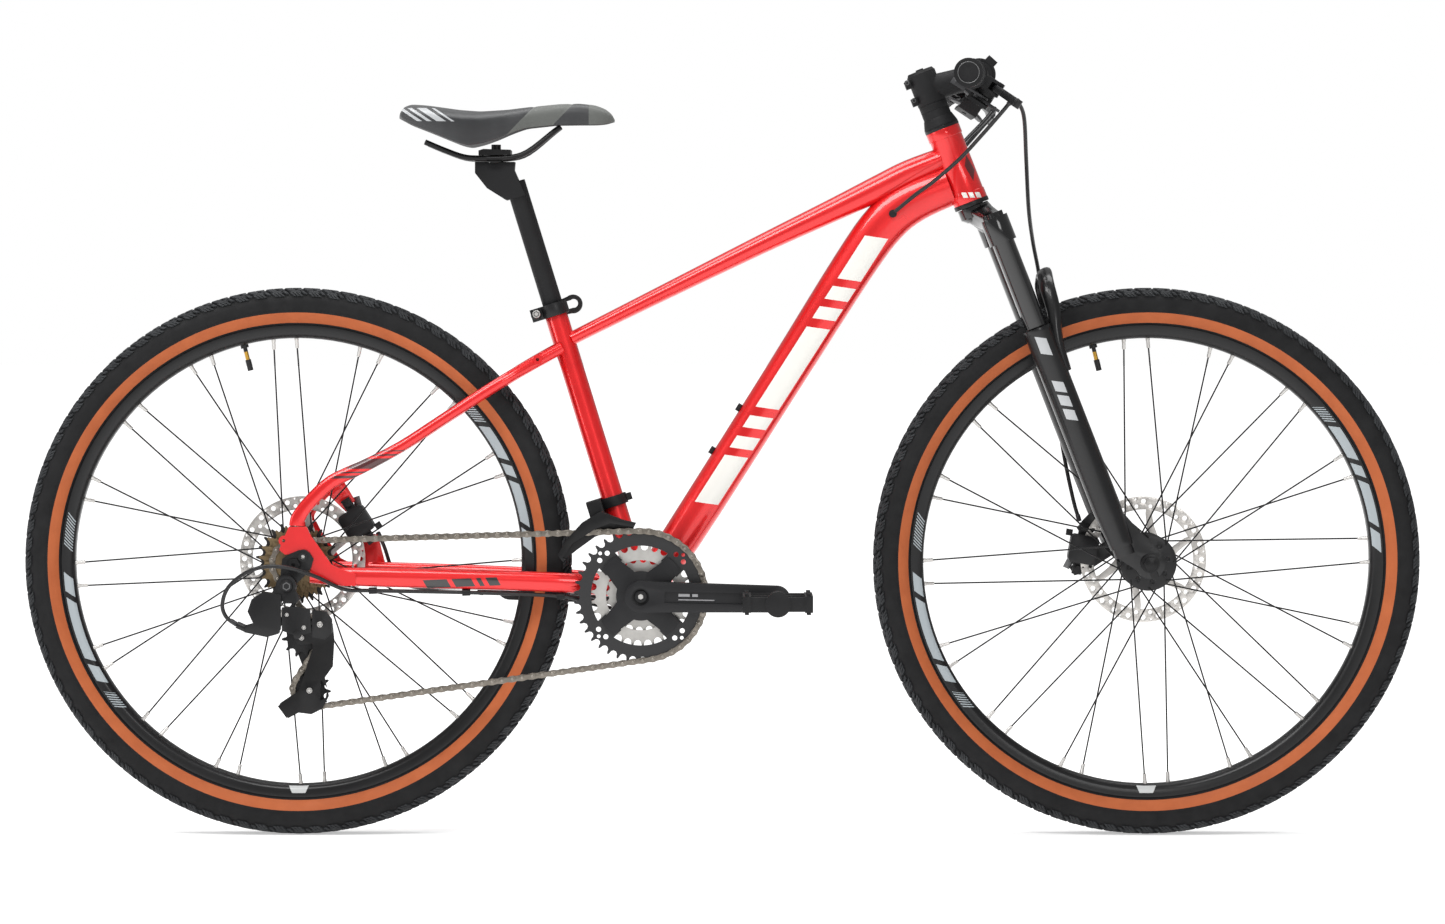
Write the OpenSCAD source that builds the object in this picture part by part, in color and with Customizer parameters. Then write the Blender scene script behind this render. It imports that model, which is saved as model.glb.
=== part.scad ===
// Hardtail mountain bicycle: welded frame, suspension fork, disc brakes, triple crank, seven-speed freewheel.
// +X is forward, +Y is the rider's left, +Z is up. The drive side is at -Y.
// The origin lies on the ground midway between the axles. All sizes are in millimetres.

/* [Wheels] */
// Outer radius of each tyre over its tread
tyre_r = 345; // [343:0.5:346]
// Diameter of each spoke
spoke_d = 2; // [1.6:0.1:2.4]
// Outer radius of each brake rotor
rotor_r = 80; // [76:1:82]

/* [Frame] */
// Outside diameter of the seat tube
seat_tube_d = 28.6; // [28:0.2:30]
// Outside diameter of the head tube
head_tube_d = 44; // [43:0.5:45]
// Diameter of the seatpost
seatpost_d = 25.4; // [25:0.1:25.6]

/* [Fork] */
// Diameter of each fork stanchion
stanchion_d = 28; // [26:0.5:28]
// Outside diameter of each fork lower leg
lower_d = 36; // [34:0.5:37]

/* [Cockpit] */
// Half of the handlebar's overall width
bar_half = 345; // [340:1:350]
// Length of each grip
grip_len = 128; // [115:1:130]
// Outside diameter of each grip
grip_d = 33; // [30:0.5:34]

/* [Drivetrain] */
// Length of each crank arm between its centres
crank_len = 170; // [165:2.5:175]
// Thickness of each sprocket and chainring
ring_t = 2; // [1.8:0.1:2.1]

/* [Hidden] */
$fn = 64;
ax = 535;                    // axle distance from the origin, along X
az = 345;                    // axle height
bb = [-102, 0, 305];         // bottom bracket centre
st_dir = [-0.294, 0, 0.9558]; // seat tube direction
st_ang = -17.1;
hb = [312.7, 0, 798.2];      // lower end of the head tube
h_ang = -21.4;               // steering axis, about Y
ht_len = 98.2;
pitch = 12.7;
cy = -58;                    // chain plane
cog_c = [-535, 345];
gp_c = [-526, 253];          // guide pulley centre
tp_c = [-516, 187];        // tension pulley centre
bar_c = [322, 0, 957];       // centre of the handlebar
bar_e = [291.7, bar_half, 944.8]; // end of the handlebar, left
red = "#d8262c";
blk = "#232425";

// ---- helpers ----
function unit(v) = v / norm(v);
function p3(v) = [v[0], v[1], v[2]];
function cr(a, b, c, d, t) = 0.5 * ((2 * b) + (c - a) * t + (2 * a - 5 * b + 4 * c - d) * t * t + (3 * b - a - 3 * c + d) * t * t * t);
function spline(P, n) = [for (i = [0:len(P) - 2]) for (k = [0:n - 1])
  cr(P[max(i - 1, 0)], P[i], P[i + 1], P[min(i + 2, len(P) - 1)], k / n), P[len(P) - 1]];
function tang(Q, i) = unit(p3(Q[min(i + 1, len(Q) - 1)]) - p3(Q[max(i - 1, 0)]));
// each route point is [x, y, z, half width, half height]; ref is the direction of the width
module sweep(Q, n = 16, ref = [0, 1, 0]) {
  m = len(Q);
  pts = [for (i = [0:m - 1]) let (t = tang(Q, i), u = unit(cross(t, ref)), v = cross(u, t))
    for (k = [0:n - 1]) p3(Q[i]) + u * Q[i][4] * cos(360 * k / n) + v * Q[i][3] * sin(360 * k / n)];
  polyhedron(pts, concat([[for (k = [n - 1:-1:0]) k]],
    [for (i = [0:m - 2]) for (k = [0:n - 1]) [i * n + k, i * n + (k + 1) % n, (i + 1) * n + (k + 1) % n, (i + 1) * n + k]],
    [[for (k = [0:n - 1]) (m - 1) * n + k]]), convexity = 10);
}
module cable(P, r = 2.5, n = 5, ref = [0.2, 1, 0.1]) sweep(spline([for (p = P) [p[0], p[1], p[2], r, r]], n), 8, ref);
module rod(a, b, r, r2 = undef) {
  d = b - a;
  translate(a) rotate([0, acos(d[2] / norm(d)), atan2(d[1], d[0])])
    cylinder(h = norm(d), r1 = r, r2 = r2 == undef ? r : r2);
}
// a slab drawn as the drive side shows it, X right and Z up, between y0 and y1
module slab(y0, y1) translate([0, y1, 0]) rotate([90, 0, 0]) linear_extrude(y1 - y0) children();
module yrod(p, y0, y1, r) translate([p[0], y1, p[1]]) rotate([90, 0, 0]) cylinder(h = y1 - y0, r = r);
module in_steer() translate(hb) rotate([0, h_ang, 0]) children();
module in_seat() translate(bb) rotate([0, st_ang, 0]) children();
module both() { children(); mirror([0, 1, 0]) children(); }
// frame on the left half of the bar: +Z outward along it, +X forward and down
bd = unit(bar_e - bar_c);
bx = unit([0.8387, 0, -0.5446] - bd * (bd * [0.8387, 0, -0.5446]));
by = cross(bd, bx);
module on_bar() multmatrix([[bx[0], by[0], bd[0], bar_c[0]], [bx[1], by[1], bd[1], bar_c[1]],
  [bx[2], by[2], bd[2], bar_c[2]], [0, 0, 0, 1]]) children();

// ---- frame ----
module head_tube() color(red) in_steer() difference() {
  union() {
    cylinder(h = ht_len, r = head_tube_d / 2 - 1);
    cylinder(h = 12, r = head_tube_d / 2);
    translate([0, 0, ht_len - 12]) cylinder(h = 12, r = head_tube_d / 2);
  }
  translate([0, 0, -1]) cylinder(h = ht_len + 2, r = 18.5);
}
function thin(Q, w) = [for (q = Q) [q[0], q[1], q[2], q[3] - w, q[4] - w]];
function mid(Q, a, b) = [for (i = [a:len(Q) - 1 - b]) Q[i]];
tt = spline([[-190, 0, 626, 13, 8.5], [-100, 0, 671, 14, 9.5], [46.8, 0, 743.6, 15, 12], [140, 0, 788, 16, 14.5],
  [200, 0, 817, 17, 16.5], [235, 0, 835, 17, 16], [275, 0, 852, 15, 14]], 4);
dt = spline([[-96, 0, 313, 27, 21], [-51.6, 0, 374.6, 24, 24.6], [75, 0, 574, 22, 25.5], [165, 0, 717, 21, 27],
  [205, 0, 772, 20, 28], [240, 0, 800, 19, 28], [285, 0, 819, 17, 26]], 4);
module top_tube() color(red) difference() {
  sweep(tt, 20);
  sweep(mid(thin(tt, 2), 2, 5), 16);
  in_steer() cylinder(h = 200, r = head_tube_d / 2 - 1, center = true);
  in_steer() cylinder(h = 12, r = head_tube_d / 2);
  in_steer() translate([0, 0, -1]) cylinder(h = 110, r = head_tube_d / 2 - 0.9);
  in_seat() cylinder(h = 400, r = seat_tube_d / 2);
}
module down_tube() color(red) difference() {
  sweep(dt, 20);
  sweep(mid(thin(dt, 2), 3, 4), 16);
  in_steer() translate([0, 0, -1]) cylinder(h = 110, r = head_tube_d / 2 - 0.9);
  in_steer() translate([0, 0, -60]) cylinder(h = 60, r = 60);
  yrod([bb[0], bb[2]], -40, 40, 20);
  in_seat() cylinder(h = 400, r = seat_tube_d / 2);
}
module seat_tube() color(red) difference() {
  union() {
    in_seat() cylinder(h = 380, r = seat_tube_d / 2);
    yrod([bb[0], bb[2]], -36.5, 36.5, 20);
  }
  yrod([bb[0], bb[2]], -40, 40, 17);
  in_seat() translate([0, 0, 30]) cylinder(h = 400, r = seatpost_d / 2 + 0.05);
  in_seat() translate([-25, -1.5, 345]) cube([20, 3, 50]);
}
module dropout(s) slab(s > 0 ? 67.5 : -73.5, s > 0 ? 73.5 : -67.5) difference() {
  union() {
    polygon([[-541, 392], [-519, 392], [-513, 380], [-500, 362], [-488, 345], [-472, 337], [-458, 333], [-458, 318],
      [-475, 318], [-497, 324], [-508, 331], [-515, 340], [-520, 352], [-527, 358], [-536, 358], [-546, 357], [-553, 363],
      [-550, 372]]);
    translate([-547.5, 374.5]) circle(r = 6.3);
    if (s > 0) { translate([-535, 345]) circle(r = 14); translate([-530, 332]) square([30, 26]);}
    else translate([-528, 347]) circle(r = 13);
  }
  translate([-547.5, 374.5]) circle(r = 2.1);
  translate([-535, 345]) circle(r = 5.1);
  translate([-547, 339.9]) rotate(-35) square([10, 10.2]);
  if (s < 0) translate([-523, 354.5]) circle(r = 3);
}
cs = spline([[-515, 68.5, 331, 5, 9.5], [-490, 67.5, 330, 5.5, 11], [-440, 63.5, 328.5, 6.5, 12],
  [-350, 54, 326, 7.5, 12.5], [-250, 45, 322.5, 8, 12.5], [-190, 39.5, 319.5, 7.5, 12.5], [-150, 31, 315.5, 7, 12.5],
  [-112, 25, 311, 8, 12]], 4);
module chainstays() color(red) {
  both() difference() {
    sweep(cs, 16);
    sweep(mid(thin(cs, 1.8), 6, 4), 12);
    yrod([bb[0], bb[2]], -40, 40, 20);
    yrod([-535, 345], 66, 76, 16);
    yrod([-535, 345], -76, -66, 16);
  }
  dropout(-1);
  dropout(1);
  rod([-172, -32, 319], [-172, 32, 319], 7);
  slab(62, 68) polygon([[-464, 333], [-430, 337], [-440, 375], [-458, 379]]);
}
module seatstays() color(red) {
  both() difference() {
    union() {
      sweep(spline([[-203, 13, 615, 6, 8], [-235, 24, 597, 6.5, 8], [-268, 37, 577.5, 7, 7.5], [-304, 42.5, 555, 7, 7.5],
        [-352, 48, 524, 7, 7], [-403, 53, 491, 6.5, 7], [-452, 58, 465, 6, 8], [-488, 63, 448, 5.5, 8.5], [-515, 67.5, 423, 5, 8.5],
        [-529, 70, 404, 4, 9], [-531, 70.5, 393, 3.4, 10]], 4), 16);
      yrod([-232, 600], 18, 33, 6);
    }
    in_seat() cylinder(h = 400, r = seat_tube_d / 2);
    yrod([-232, 600], 17, 34, 2.1);
  }
  rod([-258, -31, 584], [-258, 31, 584], 6.5);
  // brake mount tab on the left
  slab(62, 68) polygon([[-507, 430], [-486, 448], [-469, 419], [-480, 404]]);
}
module headset_cups() color(blk) in_steer() {
  difference() {
    union() {
      cylinder(h = 14, r = 18.5);
      translate([0, 0, -5.5]) cylinder(h = 5.5, r = 22.5);
      translate([0, 0, ht_len - 14]) cylinder(h = 14, r = 18.5);
      translate([0, 0, ht_len]) cylinder(h = 4, r = 22.3);
    }
    translate([0, 0, -7]) cylinder(h = 200, r = 14.35);
    translate([0, 0, 14]) cylinder(h = ht_len - 28, r = 19);
  }
}
module bb_unit() color(blk) difference() {
  union() {
    yrod([bb[0], bb[2]], -36.5, 36.5, 17);
    yrod([bb[0], bb[2]], -39.5, -36.5, 19.5);
    yrod([bb[0], bb[2]], 36.5, 39.5, 19.5);
  }
  yrod([bb[0], bb[2]], -60, 60, 8.55);
}
module seat_collar() color(blk) in_seat() {
  difference() {
    union() {
      translate([0, 0, 366]) cylinder(h = 16, r = 18);
      translate([-30, -9, 366]) cube([20, 18, 16]);
    }
    translate([0, 0, 360]) cylinder(h = 20, r = seat_tube_d / 2);
    translate([0, 0, 379]) cylinder(h = 4, r = seatpost_d / 2 + 0.3);
    translate([-35, -1.5, 360]) cube([25, 3, 30]);
    translate([-24, -20, 374]) rotate([-90, 0, 0]) cylinder(h = 40, r = 3.1);
  }
  // adjusting nut, cross bolt and the eye with the lever's pin
  translate([-24, -9.4, 374]) rotate([90, 0, 0]) cylinder(h = 9, r = 6);
  translate([-24, -12, 374]) rotate([-90, 0, 0]) cylinder(h = 28, r = 2.1);
  translate([-24, 18, 371.8]) cylinder(h = 4.4, r = 5);
  translate([-24, 18, 366.5]) cylinder(h = 15, r = 2.5);
}
module bolt(p, d, r, h) rod(p, p + unit(d) * h, r);
module frame_fittings() color(blk) {
  // bottle bolts on the down tube
  for (p = [[22.5, 0, 538], [-11.5, 0, 484]]) difference() {
    bolt(p, [-0.847, 0, 0.531], 5, 5);
    bolt(p + [-0.847, 0, 0.531] * 2.5, [-0.847, 0, 0.531], 2.2, 6);
  }
  // front derailleur clamp band and its fixed body with two guide bores
  in_seat() difference() {
    union() {
      translate([0, 0, 115]) cylinder(h = 13, r = 18);
      translate([-33, -33.5, 103]) cube([19, 33.5, 27]);
      translate([14, -4, 117]) cube([10, 8, 9]);
    }
    translate([0, 0, 100]) cylinder(h = 40, r = seat_tube_d / 2);
    for (z = [110, 122]) translate([-24, -45, z]) rotate([-90, 0, 0]) cylinder(h = 50, r = 2.55);
  }
  // cable guides below the drive-side chainstay
  for (p = [[-437, -63, 311.5], [-321, -51.5, 308.5], [-203, -41, 303]]) difference() {
    rod(p - [5, 0, 0.2], p + [5, 0, 0.2], 4.2);
    rod(p - [6, 0, 0.3], p + [6, 0, 0.3], 2.55);
  }
  // cable port on the down tube
  translate([214, -19.5, 783]) rotate([90, 0, 0]) cylinder(h = 4, r = 5);
}
module rear_axle() color(blk) {
  difference() {
    yrod([-535, 345], -82, 82, 4.95);
    yrod([-535, 345], -90, -76, 2.5);
  }
  for (s = [-1, 1]) difference() {
    translate([-535, s > 0 ? 82 : -75.6, 345]) rotate([90, 0, 0]) cylinder(h = s > 0 ? 8.4 : 6.6, r = 8.5, $fn = 6);
    yrod([-535, 345], -90, 90, 4.95);
  }
  // inner spacers, hub to dropout
  for (s = [-1, 1]) difference() {
    yrod([-535, 345], s > 0 ? 60.5 : -67.4, s > 0 ? 67.4 : -64.5, 8);
    yrod([-535, 345], -90, 90, 4.95);
  }
}
module mech_mount() color(blk) {
  // claw hanger outside the dropout
  slab(-77.5, -73.6) difference() {
    union() {
      polygon([[-549, 352], [-540, 358], [-528, 363], [-515, 360], [-510, 352], [-513, 341], [-522, 330], [-530, 322], [-534, 314],
        [-549, 314], [-552, 325]]);
      translate([-523, 354.5]) circle(r = 9);
    }
    translate([-535, 345]) circle(r = 5.1);
  }
  // claw bolt with a socket
  difference() { yrod([-523, 354.5], -81.5, -77.4, 6); yrod([-523, 354.5], -84, -78.5, 2.6); }
  // upper knuckle with its bolt along Y
  difference() {
    union() {
      yrod([-542.6, 320], -97, -77.6, 12.5);
      slab(-97, -82) polygon([[-553, 327], [-532, 327], [-530.5, 314], [-548, 300], [-562, 303]]);
      // cover over the link's pivot, with the cable arm
      slab(-103, -84) polygon([[-548.5, 309], [-572, 312], [-585, 303], [-590, 288], [-583, 273], [-594, 270], [-594, 262], [-566, 256],
        [-552, 260], [-548.5, 266]]);
    }
    yrod([-542.6, 320], -100, -95, 8);
    slab(-101, -80) polygon([[-560, 262], [-546, 262], [-546, 296], [-560, 296]]);
  }
  yrod([-542.6, 320], -98.5, -95, 7.9);
  // barrel adjuster
  rod([-592, -93, 265.5], [-604, -93, 271], 4.6);
  // pin of the parallelogram, held by the cover below and a lug above
  slab(-98, -88) polygon([[-548, 301], [-530.5, 314], [-525, 303], [-531, 297.5], [-543, 297.5]]);
  rod([-556.55, -96, 261], [-530.55, -96, 301], 2.2);
}
module rear_caliper() color(blk) translate([-463.5, 0, 393]) rotate([0, -33, 0]) caliper_body();
module caliper_body() {
  // block around the rotor, drawn with the rotor's radius along local X
  difference() {
    union() {
      translate([-21, 0, 0]) hull() for (x = [6, 30], z = [-12, 12]) translate([x, 39, z]) rotate([-90, 0, 0]) cylinder(h = 26.5, r = 6, $fn = 24);
      translate([0, 65, 0]) rotate([-90, 0, 0]) cylinder(h = 5, r = 14);
      translate([-6, 54.5, -33]) cube([12, 7.5, 66]);
    }
    translate([-60, 50.2, -40]) cube([72, 3.6, 80]);
    translate([0, 60, 0]) rotate([-90, 0, 0]) cylinder(h = 12, r = 5.05);
  }
  for (z = [-26, 26]) translate([0, 51.5, z]) rotate([-90, 0, 0]) cylinder(h = 3, r = 4.5);
  translate([13, 60, -22]) cube([8, 9, 8]);
}
module caliper_arm() difference() {
  union() {
    translate([0, 60.5, 0]) rotate([-90, 0, 0]) cylinder(h = 11, r = 5);
    translate([0, 70.4, 0]) rotate([-90, 0, 0]) cylinder(h = 3.6, r = 8);
    translate([0, 74, 0]) rotate([90, 0, 0]) linear_extrude(3.4) polygon([[-6, -5], [6, -5], [12, 12], [17, 27], [9, 29], [2, 14]]);
  }
  translate([0, 70, 0]) rotate([-90, 0, 0]) cylinder(h = 6, r = 2.5);
}
module rear_cables() color(blk) {
  // shift housing along the drive-side chainstay, looping round to the rear derailleur
  cable([[-120, -24, 283], [-160, -33, 292], [-203, -41, 303], [-321, -51.5, 308.5], [-437, -63, 311.5], [-472, -75, 314],
    [-505, -88, 330], [-535, -101, 341], [-565, -103, 344], [-592, -101, 336], [-614, -98, 318], [-622, -95, 296], [-617, -93, 280],
    [-604, -93, 271]], 2.5, 4);
  // brake housing inside the left chainstay up to the caliper
  cable([[-120, 22, 284], [-170, 38, 299], [-240, 46, 306], [-330, 54, 308], [-392, 65, 308], [-416, 74, 318], [-425, 76, 336], [-432, 74, 358],
    [-440, 67, 378]], 2.5, 4);
}
module bar_cables() color(blk) {
  // rear derailleur housing into the port on the down tube
  cable([[356, -150, 921], [344, -140, 906], [322, -110, 880], [297, -72, 852], [268, -45, 826], [240, -30, 805], [216, -24, 785]], 2.5, 5);
  // front derailleur housing, behind the head tube on the left
  cable([[352, 150, 922], [335, 130, 903], [312, 95, 880], [292, 62, 858], [264, 42, 838], [235, 30, 818], [214, 24, 800]], 2.5, 5);
  // rear brake housing
  cable([[352, 190, 915], [338, 165, 900], [312, 110, 872], [284, 62, 842], [250, 36, 808], [222, 28, 780], [205, 25, 760]], 2.5, 5);
}

// ---- chain: an open loop of pins round the four sprockets ----
r40 = pitch / 2 / sin(180 / 40);
r14 = pitch / 2 / sin(180 / 14);
r11 = pitch / 2 / sin(180 / 11);
bc = [bb[0], bb[2]];
// direction from centre a to centre b, and the angle of the outer or crossed tangent's normal
function ang(a, b) = atan2(b[1] - a[1], b[0] - a[0]);
// every contact is [centre, radius, turn] with turn +1 anticlockwise and -1 clockwise as the drive side shows it
cc = [[bc, r40, 1], [cog_c, r14, 1], [gp_c, r11, -1], [tp_c, r11, 1]];
// normal angle on wheel i for the straight run from wheel i to wheel j
function nrm(i, j) = let (a = cc[i], b = cc[j], d = norm(b[0] - a[0]), q = ang(a[0], b[0]),
  e = acos((a[1] * a[2] - b[1] * b[2]) / d)) q - e;
function off(c, a) = c[0] + c[2] * c[1] * [cos(a), sin(a)];
runs = [for (i = [0:3]) let (j = (i + 1) % 4, a = nrm(i, j)) [off(cc[i], a), off(cc[j], a), a]];
function wrap(a) = a < 0 ? wrap(a + 360) : a >= 360 ? wrap(a - 360) : a;
teeth = [40, 14, 11, 11];
// length of each straight run, and of the arc after it, counted in links
run_u = [for (i = [0:3]) norm(runs[i][1] - runs[i][0]) / pitch];
arc_a = [for (i = [0:3]) let (j = (i + 1) % 4) cc[j][2] > 0 ? wrap(runs[j][2] - runs[i][2]) : -wrap(runs[i][2] - runs[j][2])];
arc_u = [for (i = [0:3]) abs(arc_a[i]) * teeth[(i + 1) % 4] / 360];
cum = [0, run_u[0], run_u[0] + arc_u[0], run_u[0] + arc_u[0] + run_u[1], run_u[0] + arc_u[0] + run_u[1] + arc_u[1],
  run_u[0] + arc_u[0] + run_u[1] + arc_u[1] + run_u[2], run_u[0] + arc_u[0] + run_u[1] + arc_u[1] + run_u[2] + arc_u[2],
  run_u[0] + arc_u[0] + run_u[1] + arc_u[1] + run_u[2] + arc_u[2] + run_u[3],
  run_u[0] + arc_u[0] + run_u[1] + arc_u[1] + run_u[2] + arc_u[2] + run_u[3] + arc_u[3]];
links = 2 * round(cum[8] / 2);
function on_arc(i, f) = let (j = (i + 1) % 4, a = runs[i][2] + arc_a[i] * f) off(cc[j], a);
function at_u(u) = u < cum[1] ? runs[0][0] + (runs[0][1] - runs[0][0]) * u / run_u[0]
  : u < cum[2] ? on_arc(0, (u - cum[1]) / arc_u[0])
  : u < cum[3] ? runs[1][0] + (runs[1][1] - runs[1][0]) * (u - cum[2]) / run_u[1]
  : u < cum[4] ? on_arc(1, (u - cum[3]) / arc_u[1])
  : u < cum[5] ? runs[2][0] + (runs[2][1] - runs[2][0]) * (u - cum[4]) / run_u[2]
  : u < cum[6] ? on_arc(2, (u - cum[5]) / arc_u[2])
  : u < cum[7] ? runs[3][0] + (runs[3][1] - runs[3][0]) * (u - cum[6]) / run_u[3]
  : on_arc(3, min(1, (u - cum[7]) / arc_u[3]));
k_u = cum[8] / links;
pins = [for (i = [0:links - 1]) at_u(i * k_u)];
// the angle of the first pin that sits on sprocket j, to set its teeth
function pin_on(i) = let (n = ceil((cum[2 * i + 1] + 0.3) / k_u), p = pins[n % links], c = cc[(i + 1) % 4][0]) atan2(p[1] - c[1], p[0] - c[0]);
chain_side = [for (i = [0:2 * links - 1]) let (u = i * k_u / 2, p = at_u(u), q = at_u((u + 0.02) > cum[8] ? 0.02 : u + 0.02), t = unit(q - p))
  [p, [-t[1], t[0]], i % 2 == 0 ? 4.1 : 3.1]];
module chain_band(y0, y1) slab(y0, y1) difference() {
  polygon([for (c = chain_side) c[0] - c[1] * c[2]]);
  polygon([for (c = chain_side) c[0] + c[1] * c[2]]);
}
module chain() color("#6f6a62") {
  chain_band(cy - 3.4, cy - 1.6);
  chain_band(cy + 1.6, cy + 3.4);
  for (i = [0:links - 1]) yrod(pins[i], cy - 1.6, cy + 1.6, 3.85);
}
// teeth of a sprocket, with the first gap at angle a
module sprocket(n, a = 0) polygon([for (i = [0:n - 1]) let (rp = pitch / 2 / sin(180 / n), g = a + 360 * i / n, h = 360 / n)
  for (q = [[-1.6 / rp, rp - 4.15], [1.6 / rp, rp - 4.15], [4.0 / rp, rp - 2], [4.5 / rp, rp + 0.5],
    [h * PI / 360 - 0.8 / rp, rp + 3.3], [h * PI / 360 + 0.8 / rp, rp + 3.3], [h * PI / 180 - 4.5 / rp, rp + 0.5], [h * PI / 180 - 4.0 / rp, rp - 2]])
  let (t = g + q[0] * 180 / PI) [q[1] * cos(t), q[1] * sin(t)]]);

// ---- wheels, each drawn about its own axle along Y ----
module at_wheel(s) translate([s * ax, 0, az]) rotate([90, 0, 0]) children();
function mir(P) = concat(P, [for (i = [len(P) - 1:-1:0]) if (P[i][1] != 0) [P[i][0], -P[i][1]]]);
tyre_out = [[291.4, 9], [291.4, 11.6], [298.3, 11.6], [298.8, 14.2], [301, 17.2], [305, 20.8], [310, 23.8], [316, 26.2], [322, 26.9],
  [329, 27], [tyre_r - 9, 25.5], [tyre_r - 4.5, 21.5], [tyre_r - 1.8, 15], [tyre_r - 0.3, 7], [tyre_r, 0]];
tyre_in = [[298.5, 9], [301, 13.8], [305, 17.8], [310, 21], [316, 23.4], [322, 24.3], [328, 23.8], [333, 21.2], [336.5, 16.5], [338.5, 9], [339, 0]];
module tyre() color("#1d1d1d") rotate_extrude($fn = 96) polygon(concat(
  tyre_out, [for (i = [len(tyre_out) - 2:-1:0]) [tyre_out[i][0], -tyre_out[i][1]]],
  [for (i = [0:len(tyre_in) - 1]) [tyre_in[i][0], -tyre_in[i][1]]], [for (i = [len(tyre_in) - 2:-1:0]) tyre_in[i]]));
va = 104;
module inner_tube() color("#2a2a2a") {
  rotate_extrude($fn = 96) translate([318.8, 0]) difference() { circle(r = 19.5, $fn = 32); circle(r = 18.3, $fn = 32); }
  // valve: base nut, stem and cap
  rotate([0, 0, va]) {
    translate([300.5, 0, 0]) rotate([0, -90, 0]) cylinder(h = 52, r = 2.6);
    translate([281.3, 0, 0]) rotate([0, -90, 0]) cylinder(h = 4, r = 5);
    translate([262, 0, 0]) rotate([0, -90, 0]) cylinder(h = 14, r = 3.6);
  }
}
rim_out = [[281.5, 5.5], [282.5, 8.5], [286, 12], [289, 13.5], [298, 13.5], [298, 11.9], [290.8, 11.9], [290.8, 7], [288.5, 5]];
rim_in = [[283.2, 5], [284.2, 7.5], [287.2, 10.3], [289.2, 10.3], [289.2, 7.2], [286.8, 5]];
module rim() color(blk) difference() {
  rotate_extrude($fn = 96) difference() {
    polygon(concat(rim_out, [for (i = [len(rim_out) - 1:-1:0]) [rim_out[i][0], -rim_out[i][1]]]));
    polygon(concat(rim_in, [for (i = [len(rim_in) - 1:-1:0]) [rim_in[i][0], -rim_in[i][1]]]));
  }
  rotate([0, 0, va]) translate([260, 0, 0]) rotate([0, 90, 0]) cylinder(h = 50, r = 2.7);
}
// 32 crossed spokes; yr and yl are the two hub flanges, a0 the first pair's angle
module spokes(yr, yl, fr, a0) color(blk) for (k = [0:15]) for (s = [-1, 1]) {
  lean = (k % 2 == 0 ? 45 : -45) * s;
  th = a0 + 22.5 * k + 3 * s;
  a = [fr * cos(th + lean), fr * sin(th + lean), (s > 0 ? -yl : -yr) + (k % 2 == 0 ? 2.6 : -2.6)];
  b = [282 * cos(th), 282 * sin(th), s > 0 ? -3 : 3];
  rod(a, b, spoke_d / 2, $fn = 16);
  rod(b - (b - a) * (13 / norm(b - a)), b, 1.9, $fn = 16);
}
module hub(yr, yl, er, el, fl, rot_y, rr) color(blk) difference() {
  rotate([180, 0, 0]) rotate_extrude() polygon([[5, er], [rr, er], [rr, yr - 5.5], [15, yr - 4], [fl, yr - 1.6], [fl, yr + 1.6],
    [17, yr + 4], [14, yr + 9], [14, yl - 9], [17, yl - 4], [fl, yl - 1.6], [fl, yl + 1.6], [20, yl + 3], [20, rot_y - 1.05], [14, rot_y - 1.05],
    [14, rot_y + 1.6], [9, rot_y + 2.5], [9, el], [5, el]]);
  for (y = [yr, yl]) for (k = [0:7]) rotate([0, 0, 45 * k + 11]) translate([fl - 11.5, 0, -y]) cylinder(h = 12, r = 3.1, center = true);
}
module rotor(yc) color("#b5b2ad") {
  difference() {
    union() {
      translate([0, 0, -yc - 1]) linear_extrude(2) difference() {
        union() {
          difference() { circle(r = rotor_r, $fn = 96); circle(r = rotor_r - 16.5, $fn = 96); }
          difference() { circle(r = 29); circle(r = 16.5); }
          for (k = [0:5]) rotate(60 * k) polygon([[24, -5], [26, 4], [38, 17], [52, 27], [62, 31], [66, 24], [56, 20], [44, 10], [34, -2]]);
        }
        for (k = [0:23]) rotate(15 * k) { translate([rotor_r - 6, 0]) circle(r = 3); rotate(7.5) translate([rotor_r - 12, 0]) circle(r = 2.4); }
        for (k = [0:11]) rotate(30 * k + 7.5) translate([rotor_r - 2.8, 0]) circle(r = 1.1);
      }
    }
  }
  for (k = [0:5]) rotate(60 * k + 30) translate([22, 0, -yc - 3.4]) cylinder(h = 2.4, r = 4);
}
module front_tyre() at_wheel(1) tyre();
module front_inner_tube() at_wheel(1) inner_tube();
module front_rim() at_wheel(1) rim();
module front_spokes() at_wheel(1) spokes(-33, 22, 31.5, 2.85);
module front_hub() at_wheel(1) hub(-33, 22, -49.6, 49.6, 35.5, 40, 9);
module front_rotor() at_wheel(1) rotor(40);
module rear_tyre() at_wheel(-1) tyre();
module rear_inner_tube() at_wheel(-1) inner_tube();
module rear_rim() at_wheel(-1) rim();
module rear_spokes() at_wheel(-1) spokes(-17, 33, 27.5, 3.4);
module rear_hub() at_wheel(-1) hub(-17, 33, -62, 60.2, 31.5, 52, 13.95);
module rear_rotor() at_wheel(-1) rotor(52);
cogs = [14, 15, 17, 18, 20, 22, 24];
module freewheel() color("#7d6a4c") difference() {
  union() {
    for (i = [0:6]) translate([cog_c[0], cy + 5.1 * i + ring_t / 2, cog_c[1]]) rotate([90, 0, 0])
      linear_extrude(ring_t) sprocket(cogs[i], i == 0 ? pin_on(0) : 0);
    yrod(cog_c, cy - 1, -23, 20);
    yrod(cog_c, cy - 3, cy - 1, 17);
  }
  yrod(cog_c, -70, -20, 14);
}

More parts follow.
